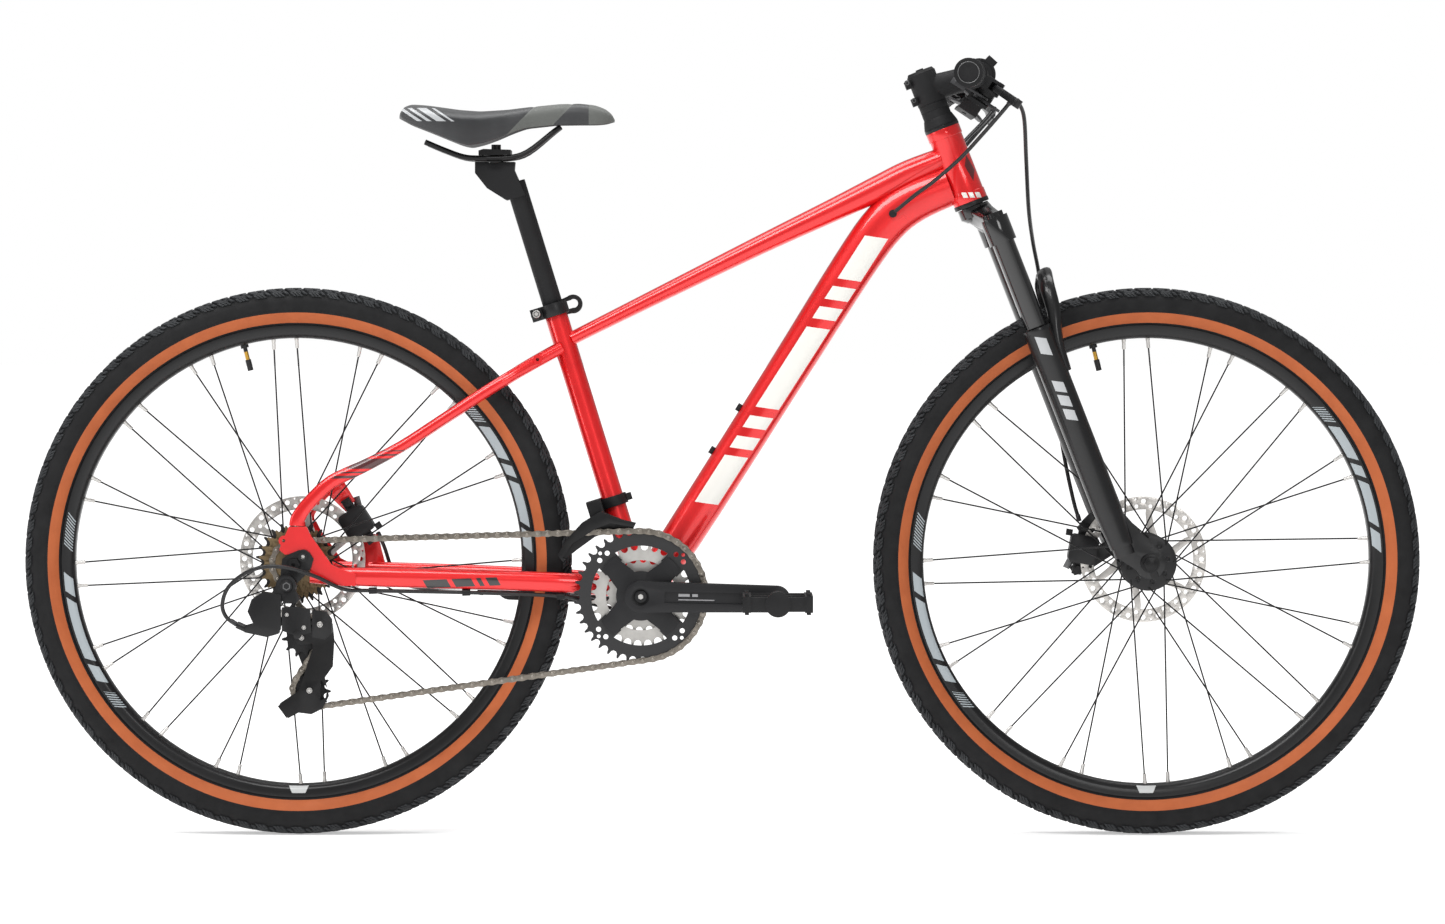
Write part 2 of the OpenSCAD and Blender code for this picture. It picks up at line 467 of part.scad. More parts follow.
// ---- crank ----
crank_a = -1;
module crank_arm(s) translate([bb[0], 0, bb[2]]) rotate([0, -crank_a, 0]) {
  difference() {
    union() {
      slab(s > 0 ? 71 : -87, s > 0 ? 87 : -71) difference() {
        union() {
          circle(r = 19.5);
          polygon([[0, 19.5], [40, 18.6], [s > 0 ? crank_len : crank_len, 16.5], [crank_len, -16.5], [40, -18.6], [0, -19.5]]);
          translate([crank_len, 0]) circle(r = 16.5);
        }
      }
      if (s < 0) yrod([0, 0], -72, -46, 16); else yrod([0, 0], 44, 72, 16);
    }
    yrod([0, 0], -100, 100, 8.5);
    yrod([0, 0], s < 0 ? -90 : 80, s < 0 ? -80 : 90, 11);
    translate([30, s < 0 ? -88 : 84, -7]) cube([110, 4, 14]);
  }
  // crank bolt
  difference() { yrod([0, 0], s < 0 ? -83 : 78, s < 0 ? -78 : 83, 7.5); yrod([0, 0], s < 0 ? -85 : 81, s < 0 ? -81 : 85, 3.4); }
}
module crankset() color(blk) {
  crank_arm(-1);
  translate([2 * bb[0], 0, 2 * bb[2]]) rotate([0, 180, 0]) crank_arm(1);
  yrod([bb[0], bb[2]], -78, 78, 8.5);
  translate([pr[0], 0, pr[1]]) pedal_axle(-1);
  translate([pl[0], 0, pl[1]]) pedal_axle(1);
  // spider with four arms, between the outer and middle rings
  translate([bb[0], 0, bb[2]]) rotate([0, -crank_a, 0]) slab(-65.5, -60) difference() {
    union() {
      circle(r = 31);
      for (k = [0:3]) rotate(45 + 90 * k) polygon([[15, 17], [46, 12.5], [57.5, 11.5], [59.3, 0], [57.5, -11.5], [46, -12.5], [15, -17]]);
    }
    circle(r = 10);
  }
}
module chainrings() color("#2b2b2c") translate([bb[0], 0, bb[2]]) {
  big_a = let (p = pins[0]) atan2(p[1] - bc[1], p[0] - bc[0]);
  // outer ring with slots and holes at the spider arms
  slab(cy - ring_t / 2, cy + ring_t / 2) difference() {
    sprocket(40, big_a);
    difference() { circle(r = 62.5, $fn = 96); for (k = [0:3]) rotate(44 + 90 * k) translate([40, -14]) square([30, 28]); }
    circle(r = 50, $fn = 96);
    for (k = [0:3]) rotate(44 + 90 * k) {
      translate([73.5, 0]) circle(r = 2.3);
      for (s = [-1, 1]) translate([67.5, 6.5 * s]) circle(r = 3.2);
    }
  }
  slab(cy - 2.4, cy - ring_t / 2) for (k = [0:3]) rotate(44 + 90 * k) translate([53, 0]) circle(r = 6);
  // middle and inner rings
  slab(-51, -49) difference() { sprocket(30, 2); circle(r = 44); }
  slab(-43, -41) difference() { sprocket(22, 5); circle(r = 27); }
  for (k = [0:3]) rotate([0, -44 - 90 * k, 0]) { yrod([51.5, 0], cy + 0.5, -50, 4); yrod([34, 0], -64, -42, 3.6); }
  slab(-51, -49) for (k = [0:3]) rotate(44 + 90 * k) polygon([[30, -6], [46, -9], [46, 9], [30, 6]]);
}
module pedal(s) {
  difference() {
    union() {
      // platform body with two rails and a ribbed barrel
      yrod([0, 0], s * 146 - 42, s * 146 + 42, 12);
      yrod([0, 0], s < 0 ? -191 : 187, s < 0 ? -187 : 191, 15.6);
      for (x = [-38, 38]) translate([x - 5, s * 146 - 44, -10]) cube([10, 88, 20]);
      for (y = [-44, -4, 34]) translate([-40, s * 146 + (s > 0 ? y : -y - 8), -9]) cube([80, 8, 18]);
      for (x = [-38, 38]) for (k = [-4:4]) translate([x - 2.5, s * 146 + k * 9.6 - 1.6, -13]) cube([5, 3.2, 26]);
    }
    yrod([0, 0], s < 0 ? -187.5 : 90, s < 0 ? -90 : 187.5, 7.05);
  }
}
pr = [bb[0] + crank_len * cos(crank_a), bb[2] + crank_len * sin(crank_a)];
pl = [bb[0] - crank_len * cos(crank_a), bb[2] - crank_len * sin(crank_a)];
module pedal_axle(s) {
  yrod([0, 0], s < 0 ? -187 : 80, s < 0 ? -80 : 187, 7);
  yrod([0, 0], s < 0 ? -92 : 87, s < 0 ? -87 : 92, 8.5);
}
module pedal_right() color("#2b2b2b") translate([pr[0], 0, pr[1]]) pedal(-1);
module pedal_left() color("#2b2b2b") translate([pl[0], 0, pl[1]]) pedal(1);

// ---- steering ----
st_r = stanchion_d / 2;
module fork_upper() color(blk) in_steer() {
  difference() {
    translate([0, 0, -24]) cylinder(h = 196, r = 14.3);
    translate([0, 0, -30]) cylinder(h = 190, r = 11.8);
  }
  difference() {
    union() {
      hull() { translate([0, 0, -19]) cylinder(h = 13, r = 20, $fn = 32); translate([6, 0, -26]) cylinder(h = 12, r = 17, $fn = 32); }
      both() hull() { translate([4, 0, -25]) cylinder(h = 17, r = 15, $fn = 32); translate([16, 54, -44]) cylinder(h = 16, r = 12, $fn = 32); }
      both() translate([16, 61, -62]) cylinder(h = 33, r = 17.5);
    }
    translate([0, 0, -30]) cylinder(h = 60, r = 10);
  }
  both() {
    difference() {
      translate([16, 61, -320]) cylinder(h = 262, r = st_r);
      translate([16, 61, -325]) cylinder(h = 255, r = st_r - 2);
    }
    // knurled cap
    translate([16, 61, -29]) linear_extrude(6) polygon([for (i = [0:47]) (i % 2 == 0 ? 13.2 : 12.2) * [cos(7.5 * i), sin(7.5 * i)]]);
  }
}
module stem() color(blk) {
  in_steer() difference() {
    union() {
      translate([0, 0, 102.5]) cylinder(h = 12, r1 = 22.3, r2 = 18.6);
      translate([0, 0, 114.5]) cylinder(h = 9.5, r = 18);
      translate([0, 0, 124.2]) cylinder(h = 8.8, r = 18);
      translate([0, 0, 133.2]) cylinder(h = 40, r = 18.5);
      translate([0, 0, 152]) rotate([0, 96.4, 0]) cylinder(h = 52, r1 = 16.5, r2 = 15);
      translate([0, 0, 173.2]) cylinder(h = 3.5, r1 = 18, r2 = 16);
      translate([-24, -9, 137]) cube([12, 18, 10]);
      translate([-24, -9, 160]) cube([12, 18, 10]);
    }
    translate([0, 0, 90]) cylinder(h = 82, r = 14.3);
    translate([-30, -1, 133.2]) cube([18, 2, 40]);
  }
  // bar clamp with a bolted face plate
  difference() {
    union() {
      yrod([bar_c[0], bar_c[2]], -25, 25, 20.5);
      for (a = [60, 240]) translate([bar_c[0], 0, bar_c[2]]) rotate([0, -a + 12, 0]) translate([18, -24, -7]) cube([8.5, 48, 14]);
    }
    yrod([bar_c[0], bar_c[2]], -40, 40, 15.9);
  }
  in_steer() for (z = [142, 165]) translate([-20, 9, z]) rotate([90, 0, 0]) cylinder(h = 22, r = 3.2);
  in_steer() translate([0, 0, 176.7]) cylinder(h = 2, r = 5);
}
module handlebar() color(blk) {
  difference() {
    union() {
      yrod([bar_c[0], bar_c[2]], -32, 32, 15.9);
      both() rod(bar_c + bd * 20, bar_c + bd * 70, 15.9, 11.1);
      both() rod(bar_c + bd * 60, bar_e - bd * 3.3, 11.1);
    }
    both() rod(bar_c + bd * 150, bar_e + bd * 20, 9.3);
  }
}
bl = norm(bar_e - bar_c);
module grips() color("#1c1c1c") both() on_bar() difference() {
  translate([0, 0, bl - grip_len - 2.8]) rotate_extrude() polygon(concat([[11.15, 0], [18.5, 0], [18.5, 3], [grip_d / 2, 5]],
    [for (i = [0:8]) for (q = [[0, 7], [-0.9, 8.2], [-0.9, 10], [0, 11.2]]) [grip_d / 2 + q[0], q[1] + i * 12.4]],
    [[grip_d / 2, grip_len - 5], [17.4, grip_len - 3.5], [17.4, grip_len], [0, grip_len], [0, grip_len - 2], [11.15, grip_len - 2]]));
}
// brake lever perch and shifter pod beside the grip, left hand
module control_half() on_bar() {
  difference() {
    union() {
      translate([0, 0, 178]) cylinder(h = 16, r = 15.5);
      translate([0, -8, 178]) cube([26, 16, 16]);
      translate([18, -9, 160]) cube([22, 18, 34]);
      translate([-20, -7, 179]) cube([12, 14, 14]);
      // cable barrel
      translate([33, 0, 146]) cylinder(h = 16, r = 5);
      translate([33, 0, 136]) cylinder(h = 12, r = 3.6);
    }
    translate([0, 0, 170]) cylinder(h = 40, r = 11.15);
    translate([25, -5.2, 175]) cube([25, 10.4, 30]);
    translate([36, -20, 186]) rotate([-90, 0, 0]) cylinder(h = 40, r = 2.9);
  }
  translate([36, -9.5, 186]) rotate([-90, 0, 0]) cylinder(h = 19, r = 2.8);
  // shifter clamp and pod, below the bar
  difference() {
    union() {
      translate([0, 0, 152]) cylinder(h = 12, r = 15);
      translate([10, -1, 126]) cube([26, 30, 44]);
      translate([14, 9, 116]) rotate([0, 0, 0]) cylinder(h = 12, r = 6);
    }
    translate([0, 0, 120]) cylinder(h = 100, r = 11.15);
    translate([0, 14.5, 134]) cube([50, 10, 40]);
    translate([22, -5, 148]) rotate([-90, 0, 0]) cylinder(h = 60, r = 3.05);
  }
  translate([22, 8, 148]) rotate([-90, 0, 0]) cylinder(h = 22, r = 3);
}
module controls() color("#1f1f20") both() control_half();
// lever blade, pivoting about local Y at (36, 186)
module lever_half() on_bar() {
  difference() {
    union() {
      translate([36, -4.8, 186]) rotate([-90, 0, 0]) cylinder(h = 9.6, r = 8);
      translate([0, 4.8, 0]) rotate([90, 0, 0]) linear_extrude(9.6)
        polygon([[30, 183], [42, 182], [54, 196], [61, 212], [65, 240], [66, 268], [70, 284], [63, 288], [58, 270], [56, 240], [50, 214], [42, 200], [32, 196]]);
      translate([66.5, 0, 285]) rotate([-90, 0, 0]) cylinder(h = 11, r = 5.5, center = true);
    }
    translate([36, -20, 186]) rotate([-90, 0, 0]) cylinder(h = 40, r = 2.85);
  }
}
module brake_lever_left() color("#1b1b1b") lever_half();
module brake_lever_right() color("#1b1b1b") mirror([0, 1, 0]) lever_half();
// thumb lever, pivoting about local Y at (22, 148), below the pod
module thumb_half() on_bar() difference() {
  union() {
    translate([22, 16, 148]) rotate([-90, 0, 0]) cylinder(h = 3, r = 9);
    translate([0, 19, 0]) rotate([90, 0, 0]) linear_extrude(3) polygon([[14, 150], [30, 145], [22, 176], [8, 192], [-12, 198], [-18, 188], [2, 178]]);
    translate([0, 23.5, 0]) rotate([90, 0, 0]) linear_extrude(7.5) polygon([[2, 194], [-12, 198], [-18, 188], [-6, 182]]);
  }
  translate([22, 0, 148]) rotate([-90, 0, 0]) cylinder(h = 60, r = 3.05);
}
module release_half() on_bar() difference() {
  union() {
    translate([22, 19.3, 148]) rotate([-90, 0, 0]) cylinder(h = 3.6, r = 9);
    translate([0, 22.9, 0]) rotate([90, 0, 0]) linear_extrude(3.6) polygon([[16, 146], [30, 145], [42, 160], [52, 182], [46, 190], [36, 180], [22, 158]]);
  }
  translate([22, 0, 148]) rotate([-90, 0, 0]) cylinder(h = 60, r = 3.05);
}
module shift_thumb_left() color("#3a3a3b") thumb_half();
module shift_thumb_right() color("#3a3a3b") mirror([0, 1, 0]) thumb_half();
module shift_release_left() color("#3a3a3b") release_half();
module shift_release_right() color("#3a3a3b") mirror([0, 1, 0]) release_half();
module front_brake_cable() color(blk) cable([[362, -148, 920], [372, -120, 900], [378, -70, 850], [385, -10, 790], [394, 44, 748], [404, 74, 705],
  [411, 88, 645], [424, 84, 560], [436, 80, 480], [448, 72, 420], [456, 69, 392]], 2.5, 5);

module fork_lowers() color(blk) in_steer() {
  both() difference() {
    union() {
      translate([16, 61, -420]) cylinder(h = 242, r = lower_d / 2);
      translate([16, 61, -470]) cylinder(h = 50, r1 = lower_d / 2 - 3, r2 = lower_d / 2);
      translate([16, 61, -482]) cylinder(h = 12, r = lower_d / 2 - 5);
      // lip over the seal
      translate([16, 61, -182]) cylinder(h = 5, r = lower_d / 2 + 0.8);
      // dropout plate
      translate([0, 57.5, 0]) rotate([90, 0, 0]) linear_extrude(7.5) difference() {
        union() {
          translate([41.6, -503.1]) circle(r = 19);
          polygon([[2, -440], [33, -430], [45, -462], [60, -498], [30, -519], [24, -506], [6, -482]]);
        }
        translate([41.6, -503.1]) circle(r = 5);
        translate([36.6, -530]) square([10, 26]);
      }
    }
    translate([16, 61, -425]) cylinder(h = 260, r = st_r + 0.05);
  }
  // arch in front of the stanchions
  difference() {
    sweep(spline([[32, -61, -240, 6, 8], [35, -61, -200, 7, 8], [44, -57, -164, 9, 6], [48, -45, -133, 10, 6], [52, -22, -120, 10, 6], [53, 0, -117, 10, 6],
      [52, 22, -120, 10, 6], [48, 45, -133, 10, 6], [44, 57, -164, 9, 6], [35, 61, -200, 7, 8], [32, 61, -240, 6, 8]], 3), 14, [1, 0, 0.25]);
    both() translate([16, 61, -300]) cylinder(h = 260, r = lower_d / 2 - 1);
  }
  // brake mount arms on the left leg
  difference() {
    translate([0, 57.5, 0]) rotate([90, 0, 0]) linear_extrude(7.5) {
      polygon([[10, -420], [-10, -429], [-22, -436], [-20, -446], [-8, -449], [10, -446]]);
      polygon([[10, -464], [-34, -474], [-49, -480], [-47, -491], [-34, -493], [10, -484]]);
    }
    translate([16, 61, -430]) cylinder(h = 260, r = st_r + 0.05);
  }
}
module front_axle() color(blk) {
  yrod([ax, az], -68, 68, 4.95);
  for (s = [-1, 1]) difference() {
    union() {
      yrod([ax, az], s > 0 ? 57.6 : -60.5, s > 0 ? 60.5 : -57.6, 11.7);
      translate([ax, s > 0 ? 67 : -60, az]) rotate([90, 0, 0]) cylinder(h = s > 0 ? 7 : 7, r = 9, $fn = 6);
    }
    yrod([ax, az], -90, 90, 4.95);
  }
}
module front_caliper() color(blk) translate([455.5, -12, 358.4]) rotate([0, -170.4, 0]) caliper_body();
module front_brake_arm() color("#444444") translate([455.5, -12, 358.4]) rotate([0, -170.4, 0]) caliper_arm();
module rear_brake_arm() color("#444444") translate([-463.5, 0, 393]) rotate([0, -33, 0]) caliper_arm();

// ---- saddle and post, in their own place ----
tilt_c = [-286, 862];        // axis of the saddle's tilt
module seatpost() color(blk) {
  in_seat() difference() {
    translate([0, 0, 230]) cylinder(h = 312, r = seatpost_d / 2);
    translate([0, 0, 229]) cylinder(h = 290, r = seatpost_d / 2 - 2);
  }
  // set-back head with a round cradle for the saddle clamp
  difference() {
    slab(-17, 17) polygon([[-262, 838], [-248, 806], [-272, 800], [-296, 815], [-311, 834], [-311, 849], [-261, 849]]);
    yrod(tilt_c, -30, 30, 16.3);
    slab(-30, 30) polygon([[-330, 848], [-230, 848], [-230, 870], [-330, 870]]);
  }
}
module saddle_rails() color("#3c3c3d") {
  both() sweep(spline([[-372, 40, 872, 3.5, 3.5], [-348, 34, 862, 3.5, 3.5], [-325, 25, 854, 3.5, 3.5], [-305, 22, 852.4, 3.5, 3.5],
    [-270, 22, 852.9, 3.5, 3.5], [-245, 21, 860, 3.5, 3.5], [-212, 10, 886, 3.5, 3.5], [-204, 7, 892, 3.5, 3.5]], 4), 10);
  // clamp halves round the rails, and the bolt
  slab(-26, 26) polygon([[-306, 856.2], [-266, 856.6], [-266, 863], [-300, 864], [-306, 862]]);
  translate([-285, 0, 862]) cylinder(h = 8, r = 6);
  difference() {
    yrod(tilt_c, -26, 26, 16);
    slab(-30, 30) polygon([[-330, 849.2], [-230, 849.2], [-230, 890], [-330, 890]]);
  }
  translate([-285, 0, 849]) cylinder(h = 12, r = 4);
}
// plain body of the padded saddle
module saddle() color("#202020") intersection() {
  slab(-80, 80) polygon([[-403, 889], [-404, 900], [-398, 914], [-380, 919], [-330, 913], [-290, 912], [-240, 918], [-190, 924], [-150, 918], [-136, 903],
    [-137, 896], [-160, 893], [-208, 893.5], [-250, 889.5], [-290, 880], [-316, 871], [-330, 873], [-370, 884]]);
  linear_extrude(1200) polygon([[-405, -58], [-396, -70], [-375, -74], [-345, -70], [-310, -52], [-280, -35], [-240, -25], [-190, -20], [-150, -17], [-138, -10],
    [-135, 0], [-138, 10], [-150, 17], [-190, 20], [-240, 25], [-280, 35], [-310, 52], [-345, 70], [-375, 74], [-396, 70], [-405, 58]]);
}
// seat clamp lever on the left, swinging out about a pin along the seat tube
module seat_clamp_lever() color("#2f2f30") in_seat() difference() {
  union() {
    for (z = [366.8, 376.6]) translate([-24, 18, z]) cylinder(h = 4.6, r = 6.4);
    for (z = [366.8, 376.6]) translate([-24, 18.8, z]) cube([11, 5, 4.6]);
    translate([0, 24, 0]) rotate([90, 0, 0]) linear_extrude(5) difference() {
      union() {
        polygon([[-15, 367], [-15, 381.2], [14, 384], [14, 364]]);
        translate([24, 374]) circle(r = 12);
        polygon([[10, 364], [10, 384], [26, 385.8], [26, 362.2]]);
      }
      translate([25, 374.5]) circle(r = 5.5);
      translate([17, 369.5]) square([8, 10]);
    }
  }
  translate([-24, 18, 360]) cylinder(h = 30, r = 2.55);
}

// ---- derailleurs ----
pk = [-500, 272];            // cage pivot
module mech_links() color(blk) {
  // pin of the lower pivot
  rod([-514.3, -101, 268], [-505.85, -101, 281], 1.5);
  difference() {
  union() {
    slab(-103, -99) polygon([[-547.4, 293], [-530, 294], [-512, 291], [-511.2, 262], [-528, 257], [-547.4, 264]]);
    rod([-548.75, -96, 273], [-541.6, -96, 284], 4.2);
    // cable anchor
    yrod([-528, 259], -106, -98.8, 5);
  }
  rod([-565, -96, 248], [-526, -96, 308], 2.25);
  }
}
module mech_knuckle() color(blk) difference() {
  union() {
    slab(-103, -98) polygon([[-509.6, 290], [-492, 288], [-485, 278], [-485, 262], [-494, 253], [-509.6, 256]]);
    yrod(pk, -98.5, -72, 11);
    yrod(pk, -104.5, -102, 6);
  }
  yrod(pk, -90, -60, 5.05);
  rod([-518.2, -101, 262], [-502.6, -101, 286], 1.55);
}
module mech_cage() color("#1d1d1e") {
  difference() {
    union() {
      // outer plate
      slab(-68.5, -66) difference() {
        polygon([[-515, 266], [-512, 240], [-518, 222], [-525, 200], [-530, 186], [-554, 170], [-543, 152], [-530, 159], [-514, 157], [-500, 164],
          [-492, 180], [-497, 203], [-487, 217], [-485, 250], [-487, 270], [-496, 286], [-508, 284]]);
        polygon([[-502, 200], [-494, 190], [-496, 178], [-503, 174]]);
      }
      slab(-68.5, -66) polygon([[-532, 260], [-505, 284], [-508, 246], [-528, 244]]);
      yrod(gp_c, -68.5, -66, 9);
      // inner plate
      slab(-51, -48.6) polygon([[-536, 258], [-522, 264], [-512, 244], [-508, 215], [-504, 182], [-512, 168], [-528, 170], [-530, 190], [-526, 215],
        [-536, 242]]);
      // pulley pins, spacer and pivot
      yrod(gp_c, -66.2, -50, 2.5);
      yrod(tp_c, -70.5, -50, 2.5);
      yrod(tp_c, -70.8, -68.4, 4.6);
      yrod(pk, -84, -66.5, 5);
      yrod(pk, -71.7, -68, 11);
      slab(-68, -49) polygon([[-556, 167], [-545, 152], [-541, 155], [-551, 170]]);
      slab(-51, -48.6) polygon([[-530, 186], [-554, 170], [-543, 152], [-514, 166]]);
    }
  }
}
module pulley(c, a) difference() {
  union() {
    translate([c[0], cy + 1, c[1]]) rotate([90, 0, 0]) linear_extrude(2) sprocket(11, a);
    yrod(c, cy - 4, cy + 4, 6);
  }
  yrod(c, cy - 10, cy + 10, 2.55);
}
module guide_pulley() color("#161616") pulley(gp_c, pin_on(1));
module tension_pulley() color("#161616") pulley(tp_c, pin_on(2));
// cage of the front derailleur, moving across the rings on two guide bars
module front_mech_cage() color("#9a9a9a") {
  slab(-65.5, -63.8) polygon([[-152, 411], [-125, 400], [-108, 396], [-112, 391], [-140, 396], [-160, 388], [-188, 370], [-200, 352], [-206, 356],
    [-196, 374], [-176, 396]]);
  slab(-52, -50.4) polygon([[-152, 411], [-125, 400], [-108, 396], [-112, 388], [-140, 386], [-160, 378], [-182, 362], [-200, 348], [-206, 356],
    [-196, 374], [-176, 396]]);
  slab(-65.5, -50.4) polygon([[-152, 411], [-130, 402], [-131, 399.5], [-153, 408.5]]);
  slab(-65.5, -50.4) polygon([[-200, 348], [-206, 356], [-203, 358], [-197, 350]]);
  in_seat() {
    translate([-32, -54, 102]) cube([18, 3.4, 28]);
    for (z = [110, 122]) translate([-24, -53, z]) rotate([-90, 0, 0]) cylinder(h = 26, r = 2.5);
  }
}

head_tube();
top_tube();
down_tube();
seat_tube();
chainstays();
seatstays();
headset_cups();
bb_unit();
seat_collar();
frame_fittings();
rear_axle();
mech_mount();
rear_caliper();
rear_cables();
bar_cables();
chain();
fork_upper();
stem();
handlebar();
grips();
controls();
front_brake_cable();
fork_lowers();
front_axle();
front_caliper();
front_tyre();
front_inner_tube();
front_rim();
front_spokes();
front_hub();
front_rotor();
rear_tyre();
rear_inner_tube();
rear_rim();
rear_spokes();
rear_hub();
rear_rotor();
freewheel();
crankset();
chainrings();
pedal_right();
pedal_left();
brake_lever_right();
brake_lever_left();
shift_thumb_right();
shift_release_right();
shift_thumb_left();
shift_release_left();
front_brake_arm();
rear_brake_arm();
seatpost();
saddle_rails();
saddle();
seat_clamp_lever();
mech_links();
mech_knuckle();
mech_cage();
guide_pulley();
tension_pulley();
front_mech_cage();
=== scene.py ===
import math
import random

import bpy
import bmesh
import numpy as np
from mathutils import Matrix, Vector


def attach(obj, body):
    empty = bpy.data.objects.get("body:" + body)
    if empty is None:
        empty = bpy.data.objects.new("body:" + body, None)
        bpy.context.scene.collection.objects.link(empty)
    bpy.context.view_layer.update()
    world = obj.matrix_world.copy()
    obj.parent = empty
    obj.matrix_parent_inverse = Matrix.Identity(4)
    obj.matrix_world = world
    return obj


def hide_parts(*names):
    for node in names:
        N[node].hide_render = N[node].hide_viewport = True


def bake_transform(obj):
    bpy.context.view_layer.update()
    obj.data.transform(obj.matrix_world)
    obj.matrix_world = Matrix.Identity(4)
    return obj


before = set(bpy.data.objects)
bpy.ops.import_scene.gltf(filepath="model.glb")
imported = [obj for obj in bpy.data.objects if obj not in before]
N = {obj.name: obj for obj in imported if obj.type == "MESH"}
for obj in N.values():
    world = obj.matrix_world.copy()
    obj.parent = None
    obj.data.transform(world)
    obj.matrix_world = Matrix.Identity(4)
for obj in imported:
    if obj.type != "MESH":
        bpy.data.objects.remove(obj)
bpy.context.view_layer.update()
random.seed(7)
MM = 0.001
AX, AZ, TYRE_R = 535.0, 345.0, 345.0
BB = np.array([-102.0, 0.0, 305.0])
CY = -58.0
coll = bpy.context.scene.collection


# ------------------------------------------------------------------ materials
class Net:
    """A small helper for node materials in the row frame's own coordinates."""

    def __init__(self, name):
        self.m = bpy.data.materials.new(name)
        self.m.use_nodes = True
        self.t = self.m.node_tree
        self.t.nodes.clear()
        self.out = self.t.nodes.new("ShaderNodeOutputMaterial")
        self.b = self.t.nodes.new("ShaderNodeBsdfPrincipled")
        self.t.links.new(self.b.outputs[0], self.out.inputs[0])
        self.tc = self.t.nodes.new("ShaderNodeTexCoord")
        self.obj = self.tc.outputs["Object"]

    def n(self, kind, **props):
        node = self.t.nodes.new(kind)
        for k, v in props.items():
            setattr(node, k, v)
        return node

    def put(self, sock, value):
        if isinstance(value, bpy.types.NodeSocket):
            self.t.links.new(value, sock)
        else:
            sock.default_value = value

    def math(self, op, a, b=None, c=None, clamp=False):
        node = self.n("ShaderNodeMath", operation=op, use_clamp=clamp)
        for i, v in enumerate((a, b, c)):
            if v is not None:
                self.put(node.inputs[i], v)
        return node.outputs[0]

    def noise(self, scale, detail=3.0, rough=0.5, vec=None):
        node = self.n("ShaderNodeTexNoise")
        node.inputs["Scale"].default_value = scale
        node.inputs["Detail"].default_value = detail
        node.inputs["Roughness"].default_value = rough
        self.put(node.inputs["Vector"], vec or self.obj)
        return node.outputs[0]

    def scaled(self, s):
        node = self.n("ShaderNodeVectorMath", operation="MULTIPLY")
        self.put(node.inputs[0], self.obj)
        node.inputs[1].default_value = s
        return node.outputs[0]

    def remap(self, v, a, b, c, d):
        node = self.n("ShaderNodeMapRange")
        self.put(node.inputs[0], v)
        for i, x in enumerate((a, b, c, d)):
            node.inputs[i + 1].default_value = x
        return node.outputs[0]

    def mix(self, f, a, b):
        node = self.n("ShaderNodeMix", data_type="RGBA")
        self.put(node.inputs["Factor"], f)
        self.put(node.inputs[6], a)
        self.put(node.inputs[7], b)
        return node.outputs[2]

    def mixf(self, f, a, b):
        node = self.n("ShaderNodeMix", data_type="FLOAT")
        self.put(node.inputs[0], f)
        self.put(node.inputs[2], a)
        self.put(node.inputs[3], b)
        return node.outputs[0]

    def bump(self, height, strength, dist, normal=None):
        node = self.n("ShaderNodeBump")
        node.inputs["Strength"].default_value = strength
        node.inputs["Distance"].default_value = dist
        self.put(node.inputs["Height"], height)
        if normal is not None:
            self.put(node.inputs["Normal"], normal)
        return node.outputs[0]

    def xyz(self):
        s = self.n("ShaderNodeSeparateXYZ")
        self.put(s.inputs[0], self.obj)
        return s.outputs[0], s.outputs[1], s.outputs[2]

    def steps(self, v, lo, hi, stops):
        """Constant steps along v: stops is [(value, level), ...] in the same units as lo and hi."""
        f = self.remap(v, lo, hi, 0.0, 1.0)
        r = self.n("ShaderNodeValToRGB")
        r.color_ramp.interpolation = "CONSTANT"
        e = r.color_ramp.elements
        while len(e) > 1:
            e.remove(e[-1])
        e[0].position = 0.0
        e[0].color = (0, 0, 0, 1)
        for p, level in stops:
            q = e.new(min(1.0, max(0.0, (p - lo) / (hi - lo))))
            q.color = (level, level, level, 1)
        self.put(r.inputs[0], f)
        return r.outputs[0]

    def set(self, **kw):
        for k, v in kw.items():
            self.put(self.b.inputs[k.replace("_", " ")], v)
        return self


def rgb(r, g, b):
    f = lambda c: ((c / 255 + 0.055) / 1.055) ** 2.4 if c > 10 else c / 255 / 12.92
    return (f(r), f(g), f(b), 1.0)


def wear(net, base, edge, amount=0.35):
    """Slight colour change over the surface, with lighter rubbed spots."""
    a = net.noise(35.0, 4.0, 0.6)
    f = net.remap(a, 0.35, 0.75, 0.0, amount)
    return net.mix(f, base, edge)


def paint(name, base, edge, rough, metallic=0.0, coat=0.0, coat_rough=0.04, peel=0.02, flake=0.0, spec=0.35):
    net = Net(name)
    net.set(Base_Color=wear(net, base, edge), Metallic=metallic)
    n1 = net.noise(9.0, 3.0, 0.6)
    net.set(Roughness=net.remap(n1, 0.3, 0.7, rough * 0.85, rough * 1.15))
    h = net.noise(420.0, 2.0, 0.5)
    net.set(Normal=net.bump(h, peel, 0.0006))
    net.b.inputs["Coat Weight"].default_value = coat
    net.b.inputs["Coat Roughness"].default_value = coat_rough
    net.b.inputs["Specular IOR Level"].default_value = spec
    return net


def mask_and(net, *ms):
    out = ms[0]
    for m in ms[1:]:
        out = net.math("MULTIPLY", out, m)
    return out


def band(net, v, lo, hi):
    """1 where lo < v < hi."""
    return mask_and(net, net.math("GREATER_THAN", v, lo), net.math("LESS_THAN", v, hi))


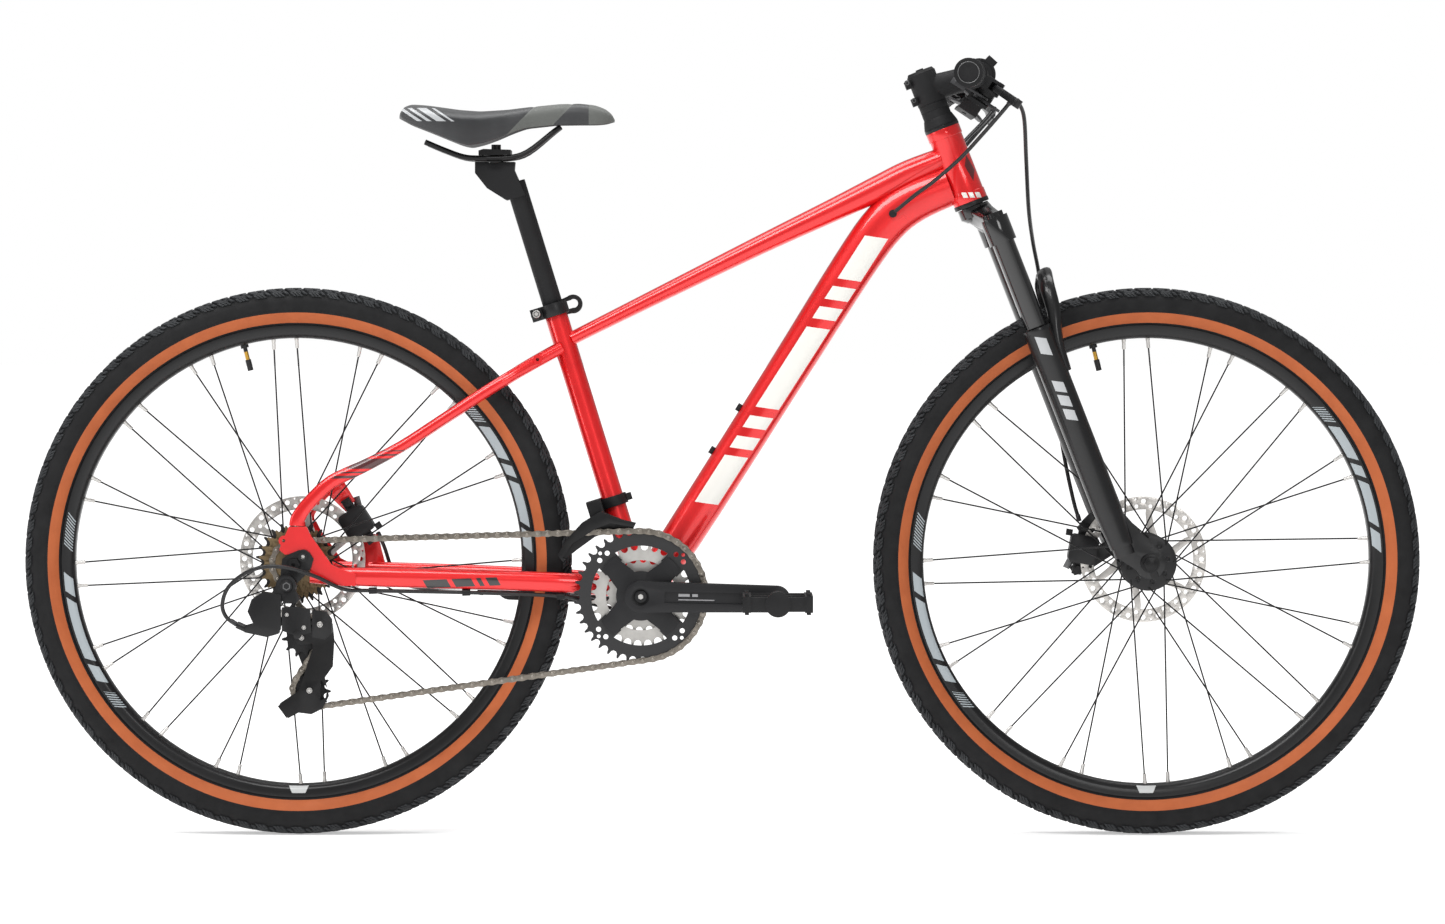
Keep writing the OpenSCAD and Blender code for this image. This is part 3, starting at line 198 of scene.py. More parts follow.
def red_paint(name, decals):
    """Gloss red over a fine metallic base; decals is a list of (mask, colour)."""
    net = Net(name)
    base = wear(net, rgb(222, 22, 26), rgb(205, 12, 18), 0.6)
    fl = net.noise(5200.0, 1.0, 0.4)
    base = net.mix(net.remap(fl, 0.45, 0.8, 0.0, 0.35), base, rgb(245, 60, 55))
    rough = net.remap(net.noise(14.0, 3.0), 0.3, 0.7, 0.26, 0.34)
    metal = 0.45
    for fn, colour in decals:
        m = fn(net)
        base = net.mix(m, base, colour)
        rough = net.mixf(m, rough, 0.32)
        metal = net.mixf(m, metal, 0.0)
    net.set(Base_Color=base, Roughness=rough, Metallic=metal)
    net.b.inputs["Coat Weight"].default_value = 0.7
    net.b.inputs["Coat Roughness"].default_value = 0.05
    h = net.noise(260.0, 2.0, 0.5)
    net.set(Normal=net.bump(h, 0.03, 0.0006))
    return net.m


def along(net, p0, direction, slant=0.0):
    """(u, v) in metres in the X-Z plane: u along direction from p0, v square to it. u leans by slant * v."""
    x, y, z = net.xyz()
    dx, dz = direction
    k = math.hypot(dx, dz)
    dx, dz = dx / k, dz / k
    px = net.math("SUBTRACT", x, p0[0] * MM)
    pz = net.math("SUBTRACT", z, p0[1] * MM)
    u = net.math("ADD", net.math("MULTIPLY", px, dx), net.math("MULTIPLY", pz, dz))
    v = net.math("ADD", net.math("MULTIPLY", px, -dz), net.math("MULTIPLY", pz, dx))
    if slant:
        u = net.math("ADD", u, net.math("MULTIPLY", v, slant))
    return u, v


def bars(p0, direction, stops, half, slant, centre=0.0):
    """Slanted plain bars: stops is [(from, to), ...] in mm along the direction."""

    def fn(net):
        u, v = along(net, p0, direction, slant)
        lo, hi = stops[0][0] - 5, stops[-1][1] + 5
        seq = []
        for a, b in stops:
            seq += [(a, 1.0), (b, 0.0)]
        m = net.steps(net.math("MULTIPLY", u, 1000.0), lo, hi, seq)
        inside = band(net, v, (centre - half) * MM, (centre + half) * MM)
        return mask_and(net, m, inside)

    return fn


WHITE = rgb(226, 224, 218)
INK = rgb(22, 18, 18)
SILVER = rgb(176, 178, 180)
down_bars = [(0, 70), (82, 100), (112, 130), (142, 262), (274, 292), (304, 322), (334, 398)]
M = {}
M["red"] = red_paint("gloss_red", [])
M["red_down"] = red_paint("gloss_red_down_tube", [(bars([-22, 418], [0.5385, 0.8427], down_bars, 13.5, 0.45, -1.0), WHITE)])
M["red_stays"] = red_paint("gloss_red_chainstays", [(bars([-372, 319], [1, 0.035], [(0, 30), (36, 60), (66, 72), (78, 92)], 5.2, 0.5, 0.5), INK)])
M["red_seatstays"] = red_paint("gloss_red_seatstays", [
    (bars([-452, 452], [0.84, 0.54], [(0, 7), (12, 16), (22, 46), (52, 56), (62, 65)], 20, 1.6), rgb(70, 12, 16))])
M["red_head"] = red_paint("gloss_red_head_tube", [
    (bars([301, 806], [0.985, 0.03], [(0, 6), (8.5, 14.5), (17, 23)], 3.4, 0.4), WHITE),
    (bars([305, 850], [0.5, -0.86], [(0, 22)], 4.5, 1.3), rgb(80, 14, 18))])

M["black_satin"] = paint("satin_black", rgb(21, 21, 22), rgb(30, 30, 32), 0.4, 0.0, 0.12, 0.25, spec=0.26).m
M["black_matt"] = paint("matt_black", rgb(23, 23, 24), rgb(32, 32, 34), 0.58, 0.0, 0.0, peel=0.05, spec=0.22).m
M["black_gloss"] = paint("gloss_black_tube", rgb(14, 14, 15), rgb(20, 20, 21), 0.16, 0.0, 0.8, 0.04, 0.01).m
M["black_steel"] = paint("black_steel", rgb(26, 26, 27), rgb(46, 45, 44), 0.36, 0.5, 0.0).m
M["grey_steel"] = paint("grey_steel", rgb(105, 105, 106), rgb(140, 139, 138), 0.34, 0.9, 0.0).m
M["silver"] = paint("bright_steel", rgb(205, 204, 202), rgb(176, 175, 173), 0.24, 1.0, 0.0).m
M["silver_soft"] = paint("satin_silver", rgb(198, 196, 193), rgb(166, 164, 162), 0.4, 0.9, 0.0).m
M["plastic"] = paint("moulded_plastic", rgb(23, 23, 24), rgb(34, 34, 36), 0.5, 0.0, 0.0, peel=0.12, spec=0.24).m
M["plastic_grey"] = paint("grey_plastic", rgb(42, 42, 44), rgb(54, 54, 56), 0.48, 0.0, 0.0, peel=0.12).m
M["cable"] = paint("cable_housing", rgb(24, 24, 25), rgb(36, 36, 37), 0.38, 0.0, 0.1, 0.3, 0.06).m
M["brass"] = paint("brass", rgb(205, 160, 70), rgb(178, 130, 52), 0.3, 1.0, 0.0).m
M["yellow"] = paint("yellow_mark", rgb(225, 190, 30), rgb(205, 170, 25), 0.45, 0.0, 0.3).m


def fork_paint():
    """Satin black lowers with plain silver bars on the outer faces."""
    net = paint("fork_black", rgb(18, 18, 19), rgb(27, 27, 29), 0.34, 0.0, 0.35, 0.12, spec=0.26)
    u, v = along(net, [413.5, 585], [0.365, -0.931], -0.55)
    m1 = mask_and(net, net.steps(net.math("MULTIPLY", u, 1000.0), -60, 140, [(-46, 1.0), (-24, 0.0), (12, 1.0), (26, 0.0), (31, 1.0), (45, 0.0), (50, 1.0), (64, 0.0)]),
                  band(net, v, -0.0075, 0.0055))
    base = net.b.inputs["Base Color"].links[0].from_socket
    net.set(Base_Color=net.mix(m1, base, SILVER))
    return net.m


M["fork"] = fork_paint()


def rim_paint(sx, name, windows, fine):
    """Satin black rim with plain slanted silver blocks, set by the angle round the axle."""
    net = paint(name, rgb(18, 18, 19), rgb(26, 26, 28), 0.36, 0.0, 0.2, 0.2, spec=0.26)
    x, y, z = net.xyz()
    px = net.math("SUBTRACT", x, sx * AX * MM)
    pz = net.math("SUBTRACT", z, AZ * MM)
    a = net.math("ARCTAN2", pz, px)
    r = net.math("SQRT", net.math("ADD", net.math("MULTIPLY", px, px), net.math("MULTIPLY", pz, pz)))
    s = net.math("ADD", net.math("MULTIPLY", a, 0.290), net.math("MULTIPLY", net.math("SUBTRACT", r, 0.290), 0.9))
    k = net.math("DIVIDE", s, 0.290 * math.pi / 180)  # degrees round the rim, with the slant
    seq = []
    for lo, hi in windows:
        p = lo
        i = 0
        while p < hi:
            w = [5.6, 3.1, 7.2, 4.4][i % 4]
            seq += [(p, 1.0), (min(hi, p + w), 0.0)]
            p += w + 0.9
            i += 1
    m = net.steps(k, -200.0, 200.0, sorted(seq)[:30])
    per = net.math("FRACT", net.math("DIVIDE", k, 0.75))
    fm = net.math("LESS_THAN", per, 0.45)
    fw = net.steps(k, -200.0, 200.0, sorted(sum([[(lo, 1.0), (hi, 0.0)] for lo, hi in fine], [])))
    m = net.math("MAXIMUM", m, mask_and(net, fm, fw))
    m = mask_and(net, m, band(net, r, 0.2846, 0.2955))
    badge = mask_and(net, band(net, r, 0.2835, 0.2925), net.math("LESS_THAN", net.math("ADD", net.math("ABSOLUTE", px), net.math("MULTIPLY", net.math("SUBTRACT", r, 0.2835), 0.45)), 0.0125),
                     net.math("LESS_THAN", pz, 0.0))
    base = net.b.inputs["Base Color"].links[0].from_socket
    col = net.mix(m, base, rgb(158, 166, 170))
    col = net.mix(badge, col, rgb(188, 190, 190))
    net.set(Base_Color=col)
    return net.m


WIN = [(-3, 33), (172, 198)]
M["rim_rear"] = rim_paint(-1, "rim_black_rear", [(2, 36), (-178, -148)], [(37, 42), (-146, -141), (168, 176)])
M["rim_front"] = rim_paint(1, "rim_black_front", [(2, 36), (-178, -148)], [(37, 42), (-146, -141), (168, 176)])


def tube_mat(sx):
    net = paint("valve_" + ("front" if sx > 0 else "rear"), rgb(26, 26, 27), rgb(34, 34, 35), 0.5)
    x, y, z = net.xyz()
    px = net.math("SUBTRACT", x, sx * AX * MM)
    pz = net.math("SUBTRACT", z, AZ * MM)
    r = net.math("SQRT", net.math("ADD", net.math("MULTIPLY", px, px), net.math("MULTIPLY", pz, pz)))
    m = band(net, r, 0.2622, 0.2725)
    base = net.b.inputs["Base Color"].links[0].from_socket
    net.set(Base_Color=net.mix(m, base, rgb(205, 160, 70)), Metallic=m, Roughness=net.mixf(m, 0.5, 0.3))
    return net.m


def ring_finish(name, centre, base, edge, rough, metallic, lines=900.0, bumpy=0.12):
    """Ground or turned metal: fine lines round the part's own axis."""
    net = Net(name)
    x, y, z = net.xyz()
    px = net.math("SUBTRACT", x, centre[0] * MM)
    pz = net.math("SUBTRACT", z, centre[1] * MM)
    r = net.math("SQRT", net.math("ADD", net.math("MULTIPLY", px, px), net.math("MULTIPLY", pz, pz)))
    c = net.n("ShaderNodeCombineXYZ")
    net.put(c.inputs[0], net.math("MULTIPLY", r, lines))
    net.put(c.inputs[1], net.math("MULTIPLY", net.math("ARCTAN2", pz, px), 1.5))
    h = net.noise(1.0, 3.0, 0.6, c.outputs[0])
    spots = net.noise(45.0, 4.0, 0.6)
    col = net.mix(net.remap(spots, 0.35, 0.7, 0.0, 0.7), base, edge)
    net.set(Base_Color=col, Metallic=metallic, Roughness=net.remap(h, 0.3, 0.7, rough * 0.8, rough * 1.25), Normal=net.bump(h, bumpy, 0.0002))
    return net


M["rotor_front"] = ring_finish("rotor_ground_front", (AX, AZ), rgb(206, 203, 199), rgb(184, 180, 175), 0.34, 0.85).m
M["rotor_rear"] = ring_finish("rotor_ground_rear", (-AX, AZ), rgb(206, 203, 199), rgb(184, 180, 175), 0.34, 0.85).m


def cog_mat():
    net = ring_finish("sprocket_steel", (-AX, AZ), rgb(134, 116, 88), rgb(96, 80, 58), 0.42, 0.8)
    x, y, z = net.xyz()
    big = net.math("GREATER_THAN", y, -0.0300)
    base = net.b.inputs["Base Color"].links[0].from_socket
    net.set(Base_Color=net.mix(big, base, rgb(38, 37, 36)), Metallic=net.mixf(big, 0.8, 0.4))
    return net.m


def ringset_mat():
    net = ring_finish("chainring_steel", (BB[0], BB[2]), rgb(196, 194, 190), rgb(170, 168, 164), 0.36, 0.85)
    x, y, z = net.xyz()
    outer = net.math("LESS_THAN", y, -0.0535)
    base = net.b.inputs["Base Color"].links[0].from_socket
    net.set(Base_Color=net.mix(outer, base, rgb(44, 44, 45)), Metallic=net.mixf(outer, 0.85, 0.35))
    return net.m


M["cogs"] = cog_mat()
M["rings"] = ringset_mat()
M["chain"] = paint("chain_plate", rgb(126, 120, 112), rgb(88, 82, 74), 0.36, 0.9, 0.0, peel=0.1).m
M["chain_roller"] = paint("chain_roller", rgb(150, 144, 136), rgb(110, 104, 96), 0.28, 0.95, 0.0).m


def crank_mat():
    net = paint("crank_black", rgb(22, 22, 24), rgb(31, 31, 33), 0.44, 0.0, 0.1, 0.3, 0.03, spec=0.26)
    u, v = along(net, [BB[0], BB[2]], [1, -0.0175])
    um = net.math("MULTIPLY", u, 1000.0)
    x, y, z = net.xyz()
    outer = net.math("LESS_THAN", y, -0.08)
    a = mask_and(net, net.steps(um, 40, 130, [(47, 1.0), (61, 0.0), (64, 1.0), (71, 0.0)]), band(net, v, 0.0012, 0.0046))
    b = mask_and(net, net.steps(um, 40, 130, [(47, 1.0), (92, 0.0)]), band(net, v, -0.0034, -0.0022))
    m = mask_and(net, net.math("MAXIMUM", a, b), outer)
    base = net.b.inputs["Base Color"].links[0].from_socket
    net.set(Base_Color=net.mix(m, base, rgb(150, 150, 152)))
    return net.m


M["crank"] = crank_mat()


def rubber(name, base, edge, rough=0.72, scale=700.0):
    net = Net(name)
    net.set(Base_Color=wear(net, base, edge, 0.8), Roughness=net.remap(net.noise(60.0), 0.3, 0.7, rough - 0.07, rough + 0.07))
    h = net.noise(scale, 3.0, 0.6)
    net.set(Normal=net.bump(h, 0.25, 0.0004))
    net.b.inputs["Specular IOR Level"].default_value = 0.22
    return net


M["tyre"] = rubber("tyre_black", rgb(20, 20, 21), rgb(30, 30, 31)).m
M["knob"] = rubber("tyre_knob", rgb(38, 39, 41), rgb(58, 60, 62), 0.66).m


def tan_mat():
    net = rubber("tyre_tan", rgb(176, 94, 54), rgb(160, 82, 46), 0.62, 900.0)
    return net.m


M["tan"] = tan_mat()
M["grip"] = rubber("grip_rubber", rgb(22, 22, 23), rgb(32, 32, 33), 0.7, 1100.0).m

# node -> material
USE = {
    "head_tube": "red_head", "top_tube": "red", "down_tube": "red_down", "seat_tube": "red", "chainstays": "red_stays", "seatstays": "red_seatstays",
    "headset_cups": "black_satin", "bb_unit": "black_steel", "seat_collar": "black_satin", "frame_fittings": "plastic", "rear_axle": "black_steel",
    "mech_mount": "black_satin", "rear_caliper": "black_satin", "fork_upper": "black_gloss", "stem": "black_matt", "handlebar": "black_matt",
    "grips": "grip", "controls": "plastic", "fork_lowers": "fork", "front_axle": "black_steel", "front_caliper": "black_satin",
    "front_rim": "rim_front", "rear_rim": "rim_rear", "front_spokes": "black_steel", "rear_spokes": "black_steel",
    "front_hub": "black_satin", "rear_hub": "black_satin", "front_rotor": "rotor_front", "rear_rotor": "rotor_rear", "freewheel": "cogs",
    "crankset": "crank", "chainrings": "rings", "pedal_right": "plastic", "pedal_left": "plastic", "brake_lever_right": "black_satin",
    "brake_lever_left": "black_satin", "shift_thumb_right": "plastic_grey", "shift_thumb_left": "plastic_grey", "shift_release_right": "plastic_grey",
    "shift_release_left": "plastic_grey", "front_brake_arm": "grey_steel", "rear_brake_arm": "grey_steel", "seatpost": "black_matt",
    "saddle_rails": "black_steel", "seat_clamp_lever": "black_satin", "mech_links": "black_satin", "mech_knuckle": "black_satin",
    "mech_cage": "black_steel", "guide_pulley": "plastic", "tension_pulley": "plastic", "front_mech_cage": "black_steel",
    "front_inner_tube": None, "rear_inner_tube": None,
}
M["valve_front"], M["valve_rear"] = tube_mat(1), tube_mat(-1)
USE["front_inner_tube"], USE["rear_inner_tube"] = "valve_front", "valve_rear"
NO_BEVEL = {"front_spokes", "rear_spokes", "chainrings", "freewheel", "top_tube", "down_tube", "saddle_rails", "front_inner_tube", "rear_inner_tube",
            "seatstays", "chainstays", "front_rim", "rear_rim", "grips"}
for node, key in USE.items():
    o = N[node]
    o.data.materials.clear()
    o.data.materials.append(M[key])
    for p in o.data.polygons:
        p.material_index = 0
        p.use_smooth = True
    if "custom_normal" in o.data.attributes:
        o.data.attributes.remove(o.data.attributes["custom_normal"])
    w = o.modifiers.new("weld", "WELD")
    w.merge_threshold = 0.00001
    if node not in NO_BEVEL:
        b = o.modifiers.new("bevel", "BEVEL")
        b.width = 0.0005
        b.segments = 2
        b.limit_method = "ANGLE"
        b.angle_limit = math.radians(38)
    e = o.modifiers.new("edges", "EDGE_SPLIT")
    e.split_angle = math.radians(48 if node in ("top_tube", "down_tube", "seatstays", "chainstays", "saddle_rails", "fork_lowers") else 34)


# ------------------------------------------------------------------ geometry helpers
def make(name, verts, faces, mats, body, smooth=True, index=None, split=None, scale=MM):
    me = bpy.data.meshes.new(name)
    me.from_pydata([tuple(float(c) * scale for c in v) for v in verts], [], faces)
    me.validate()
    for m in mats:
        me.materials.append(M[m])
    for i, p in enumerate(me.polygons):
        p.use_smooth = smooth
        if index is not None:
            p.material_index = index[i]
    me.update()
    bm = bmesh.new()
    bm.from_mesh(me)
    bmesh.ops.recalc_face_normals(bm, faces=bm.faces)
    bm.to_mesh(me)
    bm.free()
    o = bpy.data.objects.new(name, me)
    coll.objects.link(o)
    if split:
        e = o.modifiers.new("edges", "EDGE_SPLIT")
        e.split_angle = math.radians(split)
    if body:
        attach(o, body)
    return o


class Soup:
    def __init__(self):
        self.v, self.f, self.i = [], [], []

    def add(self, v, f, mat=0):
        k = len(self.v)
        self.v += [tuple(p) for p in v]
        self.f += [[a + k for a in q] for q in f]
        self.i += [mat] * len(f)


def frame_of(d, ref=(0.17, 0.93, 0.31)):
    d = np.array(d, float)
    d /= np.linalg.norm(d)
    a = np.cross(d, ref)
    if np.linalg.norm(a) < 1e-3:
        a = np.cross(d, (1, 0, 0))
    a /= np.linalg.norm(a)
    return d, a, np.cross(d, a)


def turned(soup, p0, p1, prof, n=24, mat=0, flat=None):
    """A turned piece from p0 towards p1: prof is [(distance, radius), ...]."""
    d, a, b = frame_of(np.array(p1, float) - np.array(p0, float))
    v, f = [], []
    for t, r in prof:
        for k in range(n):
            g = 2 * math.pi * k / n
            v.append(np.array(p0) + d * t + (a * math.cos(g) + b * math.sin(g)) * r)
    m = len(prof)
    for i in range(m - 1):
        for k in range(n):
            f.append([i * n + k, i * n + (k + 1) % n, (i + 1) * n + (k + 1) % n, (i + 1) * n + k])
    f.append(list(range(n))[::-1])
    f.append([(m - 1) * n + k for k in range(n)])
    soup.add(v, f, mat)


def catmull(P, n):
    P = [np.array(p, float) for p in P]
    Q = [2 * P[0] - P[1]] + P + [2 * P[-1] - P[-2]]
    out = []
    for i in range(1, len(Q) - 2):
        for k in range(n):
            t = k / n
            a, b, c, d = Q[i - 1], Q[i], Q[i + 1], Q[i + 2]
            out.append(0.5 * (2 * b + (c - a) * t + (2 * a - 5 * b + 4 * c - d) * t * t + (3 * b - a - 3 * c + d) * t ** 3))
    out.append(P[-1])
    return out


def tube(soup, P, r, n=12, mat=0, ends=True):
    P = [np.array(p, float) for p in P]
    v, f = [], []
    d, a, b = frame_of(P[1] - P[0])
    for i, p in enumerate(P):
        t = (P[min(i + 1, len(P) - 1)] - P[max(i - 1, 0)])
        t /= np.linalg.norm(t)
        a = a - t * (a @ t)
        a /= np.linalg.norm(a)
        b = np.cross(t, a)
        rr = r[i] if hasattr(r, "__len__") else r
        for k in range(n):
            g = 2 * math.pi * k / n
            v.append(p + (a * math.cos(g) + b * math.sin(g)) * rr)
    for i in range(len(P) - 1):
        for k in range(n):
            f.append([i * n + k, i * n + (k + 1) % n, (i + 1) * n + (k + 1) % n, (i + 1) * n + k])
    if ends:
        f.append(list(range(n))[::-1])
        f.append([(len(P) - 1) * n + k for k in range(n)])
    soup.add(v, f, mat)


# ------------------------------------------------------------------ tyres with knobs
TYRE_OUT = [(291.4, 9), (291.4, 11.6), (298.3, 11.6), (298.8, 14.2), (301, 17.2), (305, 20.8), (310, 23.8), (316, 26.2), (322, 26.9),
            (329, 27), (336, 25.5), (340.5, 21.5), (343.2, 15), (344.7, 7), (345, 0)]
SINK = [0, 0, 0, 0, 0, 0, 0, 0, 0, 0.8, 2.6, 3.4, 3.6, 3.6, 3.6]
TYRE_IN = [(298.5, 9), (301, 13.8), (305, 17.8), (310, 21), (316, 23.4), (322, 24.3), (328, 23.8), (333, 21.2), (336.5, 16.5), (338.5, 9), (339, 0)]


def profile(points):
    """Arc-length curve over the whole tread, from -Y to +Y."""
    right = [(r, y) for r, y in points]
    full = [(r, -y) for r, y in right[:-1]] + right[::-1]
    c = np.array(catmull([np.array([r, y]) for r, y in full], 6))
    s = np.concatenate([[0], np.cumsum(np.linalg.norm(np.diff(c, axis=0), axis=1))])
    return c, s - s[-1] / 2


PC, PS = profile(TYRE_OUT[4:])


def on_profile(s):
    r = np.interp(s, PS, PC[:, 0])
    y = np.interp(s, PS, PC[:, 1])
    e = 0.6
    dr = np.interp(s + e, PS, PC[:, 0]) - np.interp(s - e, PS, PC[:, 0])
    dy = np.interp(s + e, PS, PC[:, 1]) - np.interp(s - e, PS, PC[:, 1])
    k = math.hypot(dr, dy) or 1
    nr, ny = dy / k, -dr / k
    if nr < 0 and abs(y) < 20:
        nr, ny = -nr, -ny
    return r, y, nr, ny


def point(sx, ang, r, y):
    return (sx * AX + r * math.cos(ang), y, AZ + r * math.sin(ang))


def tyre(name, sx, body, node):
    sp = Soup()
    seg = 180
    # carcass: outer profile sunk under the knobs, then the inside
    out = []
    for (r, y), d in zip(TYRE_OUT, SINK):
        k = math.hypot(r - 320, y) or 1
        out.append(np.array([r - d * (r - 320) / k, y - d * y / k]))
    half = [out[0], out[1], out[2], out[3]] + catmull(out[4:], 3)
    ring = [np.array([p[0], p[1]]) for p in half] + [np.array([p[0], -p[1]]) for p in half[-2::-1]]
    inner = [np.array(p, float) for p in TYRE_IN]
    ring += [np.array([p[0], -p[1]]) for p in inner] + [p for p in inner[-2::-1]]
    n = len(ring)
    v, f, idx = [], [], []
    for i in range(seg):
        g = 2 * math.pi * i / seg
        for p in ring:
            v.append(point(sx, g, p[0], p[1]))
    for i in range(seg):
        for k in range(n):
            a, b = ring[k], ring[(k + 1) % n]
            j = (i + 1) % seg
            f.append([i * n + k, i * n + (k + 1) % n, j * n + (k + 1) % n, j * n + k])
            m = (a + b) / 2
            idx.append(2 if k < 2 * len(half) - 2 and 301.2 < m[0] < 314.3 and abs(m[1]) > 16.5 else 0)
    sp.v, sp.f, sp.i = v, f, idx
    # thin raised lines at the tan band's edges
    for s in (-1, 1):
        for rr in (316.6, 318.4):
            y0 = s * np.interp(rr, [p[0] for p in TYRE_OUT[4:10]], [p[1] for p in TYRE_OUT[4:10]])
            vv, ff = [], []
            for i in range(seg):
                g = 2 * math.pi * i / seg
                for dr, dy in ((-0.4, -0.2), (0, 0.28), (0.4, -0.2)):
                    vv.append(point(sx, g, rr + dr, y0 + s * dy))
            for i in range(seg):
                j = (i + 1) % seg
                for k in range(3):
                    ff.append([i * 3 + k, i * 3 + (k + 1) % 3, j * 3 + (k + 1) % 3, j * 3 + k])
            sp.add(vv, ff, 0)

    def knob(g0, ln, s0, s1, skew=0.0, depth=4.4, lift=0.0, chamfer=0.7, m=4):
        """A block from s0 to s1 across and ln mm long round the tyre at angle g0."""
        ss = np.linspace(s0, s1, m)
        top, bot = [], []
        for k, s in enumerate(ss):
            r, y, nr, ny = on_profile(s)
            mid = (k / (m - 1) - 0.5)
            c = g0 + skew * mid * (s1 - s0) / 345
            for side in (-1, 1):
                hl = side * ln / 2
                st = s + (chamfer if k == 0 else -chamfer if k == m - 1 else 0)
                rt, yt, _, _ = on_profile(st)
                low = 0.5 if k in (0, m - 1) else 0.0
                top.append(point(sx, c + (hl - side * chamfer * 0.8) / 345, rt + lift - low * nr, yt - low * ny))
                bot.append(point(sx, c + hl / 345, r - nr * depth, y - ny * depth))
                # a ring just below the chamfer keeps the walls upright
        mids = []
        for k, s in enumerate(ss):
            r, y, nr, ny = on_profile(s)
            mid = (k / (m - 1) - 0.5)
            c = g0 + skew * mid * (s1 - s0) / 345
            for side in (-1, 1):
                mids.append(point(sx, c + side * ln / 2 / 345, r - nr * 0.9, y - ny * 0.9))
        v = top + mids + bot
        T, D, B = 0, 2 * m, 4 * m
        f = []
        for k in range(m - 1):
            f.append([T + 2 * k, T + 2 * k + 1, T + 2 * k + 3, T + 2 * k + 2])
            for (a, b) in ((T, D), (D, B)):
                f.append([a + 2 * k, a + 2 * k + 2, b + 2 * k + 2, b + 2 * k])
                f.append([a + 2 * k + 1, b + 2 * k + 1, b + 2 * k + 3, a + 2 * k + 3])
        for (a, b) in ((T, D), (D, B)):
            f.append([a, b, b + 1, a + 1])
            f.append([a + 2 * m - 2, a + 2 * m - 1, b + 2 * m - 1, b + 2 * m - 2])
        f.append([B + 2 * k for k in range(m)] + [B + 2 * k + 1 for k in range(m - 1, -1, -1)])
        sp.add(v, f, 1)

    pitches = 92
    step = 2 * math.pi / pitches
    for i in range(pitches):
        g = i * step
        knob(g, 9.4, -7.2, -0.9, 0.25)
        knob(g + 0.12 * step, 9.4, 0.9, 7.2, 0.25)
        knob(g + 0.5 * step, 8.2, -4.6, 4.6, -0.2)
        for s in (-1, 1):
            lo, hi = (9.6, 16.4) if s > 0 else (-16.4, -9.6)
            knob(g + (0.28 if s > 0 else 0.36) * step, 9.6, lo, hi, -0.55 * s)
            knob(g + (0.80 if s > 0 else 0.86) * step, 6.6, lo * 1.05, hi * 0.98, -0.55 * s)
            # shoulder block with two slits at its outer end
            base = g + (0.06 if s > 0 else 0.1) * step
            a, b = (18.0, 23.4) if s > 0 else (-23.4, -18.0)
            knob(base, 12.6, a, b, -0.9 * s)
            c, d = (23.2, 29.6) if s > 0 else (-29.6, -23.2)
            for q in (-1, 0, 1):
                knob(base - 0.02 * s * 0 + (q * 4.35 - 2.4) / 345, 3.5, c if s > 0 else c, d, -0.9 * s, 3.2, 0.0, 0.4, 3)
            knob(g + 0.62 * step, 4.6, *( (19.4, 25.6) if s > 0 else (-25.6, -19.4)), -0.9 * s, 3.4)
    o = make(name, sp.v, sp.f, ["tyre", "knob", "tan"], body, True, sp.i, 30)
    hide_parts(node)
    return o


tyre("tyre_front_tread", 1, "front_wheel", "front_tyre")
tyre("tyre_rear_tread", -1, "rear_wheel", "rear_tyre")


# ------------------------------------------------------------------ spoke nipples
def nipples(name, sx, yr, yl, fr, a0, body):
    sp = Soup()
    for k in range(16):
        for s in (-1, 1):
            lean = (45 if k % 2 == 0 else -45) * s
            th = math.radians(a0 + 22.5 * k + 3 * s)
            tl = th + math.radians(lean)
            a = np.array([fr * math.cos(tl), fr * math.sin(tl), (-yl if s > 0 else -yr) + (2.6 if k % 2 == 0 else -2.6)])
            b = np.array([282 * math.cos(th), 282 * math.sin(th), -3 if s > 0 else 3])
            # the wheel is drawn about Z and turned to lie along Y
            turn = lambda p: np.array([sx * AX + p[0], -p[2], AZ + p[1]])
            a, b = turn(a), turn(b)
            u = (b - a) / np.linalg.norm(b - a)
            turned(sp, b - u * 13.2, b, [(0, 2.0), (0.6, 2.25), (9.5, 2.35), (10.2, 2.7), (13.4, 2.75)], 12, 0)
    return make(name, sp.v, sp.f, ["silver_soft"], body, True, None, 40)


nipples("nipples_front", 1, -33, 22, 31.5, 2.85, "front_wheel")
nipples("nipples_rear", -1, -17, 33, 27.5, 3.4, "rear_wheel")

# ------------------------------------------------------------------ chain
PITCH = 12.7
rad = lambda n: PITCH / 2 / math.sin(math.pi / n)
CC = [(np.array([-102.0, 305.0]), rad(40), 1), (np.array([-535.0, 345.0]), rad(14), 1), (np.array([-526.0, 253.0]), rad(11), -1), (np.array([-516.0, 187.0]), rad(11), 1)]
deg = math.degrees


def nrm(i, j):
    a, b = CC[i], CC[j]
    d = b[0] - a[0]
    q = deg(math.atan2(d[1], d[0]))
    return q - deg(math.acos((a[1] * a[2] - b[1] * b[2]) / np.linalg.norm(d)))


def off(c, a):
    return c[0] + c[2] * c[1] * np.array([math.cos(math.radians(a)), math.sin(math.radians(a))])


RUN = []
for i in range(4):
    j = (i + 1) % 4
    a = nrm(i, j)
    RUN.append((off(CC[i], a), off(CC[j], a), a))
TEETH = [40, 14, 11, 11]
SEG = []
for i in range(4):
    j = (i + 1) % 4
    n2 = (i + 1) % 4
    length = np.linalg.norm(RUN[i][1] - RUN[i][0]) / PITCH
    SEG.append(("run", i, length, 0))
    d = RUN[n2][2] - RUN[i][2]
    arc = d % 360 if CC[j][2] > 0 else -((-d) % 360)
    SEG.append(("arc", i, abs(arc) * TEETH[j] / 360, arc))
TOTAL = sum(s[2] for s in SEG)
LINKS = 2 * round(TOTAL / 2)


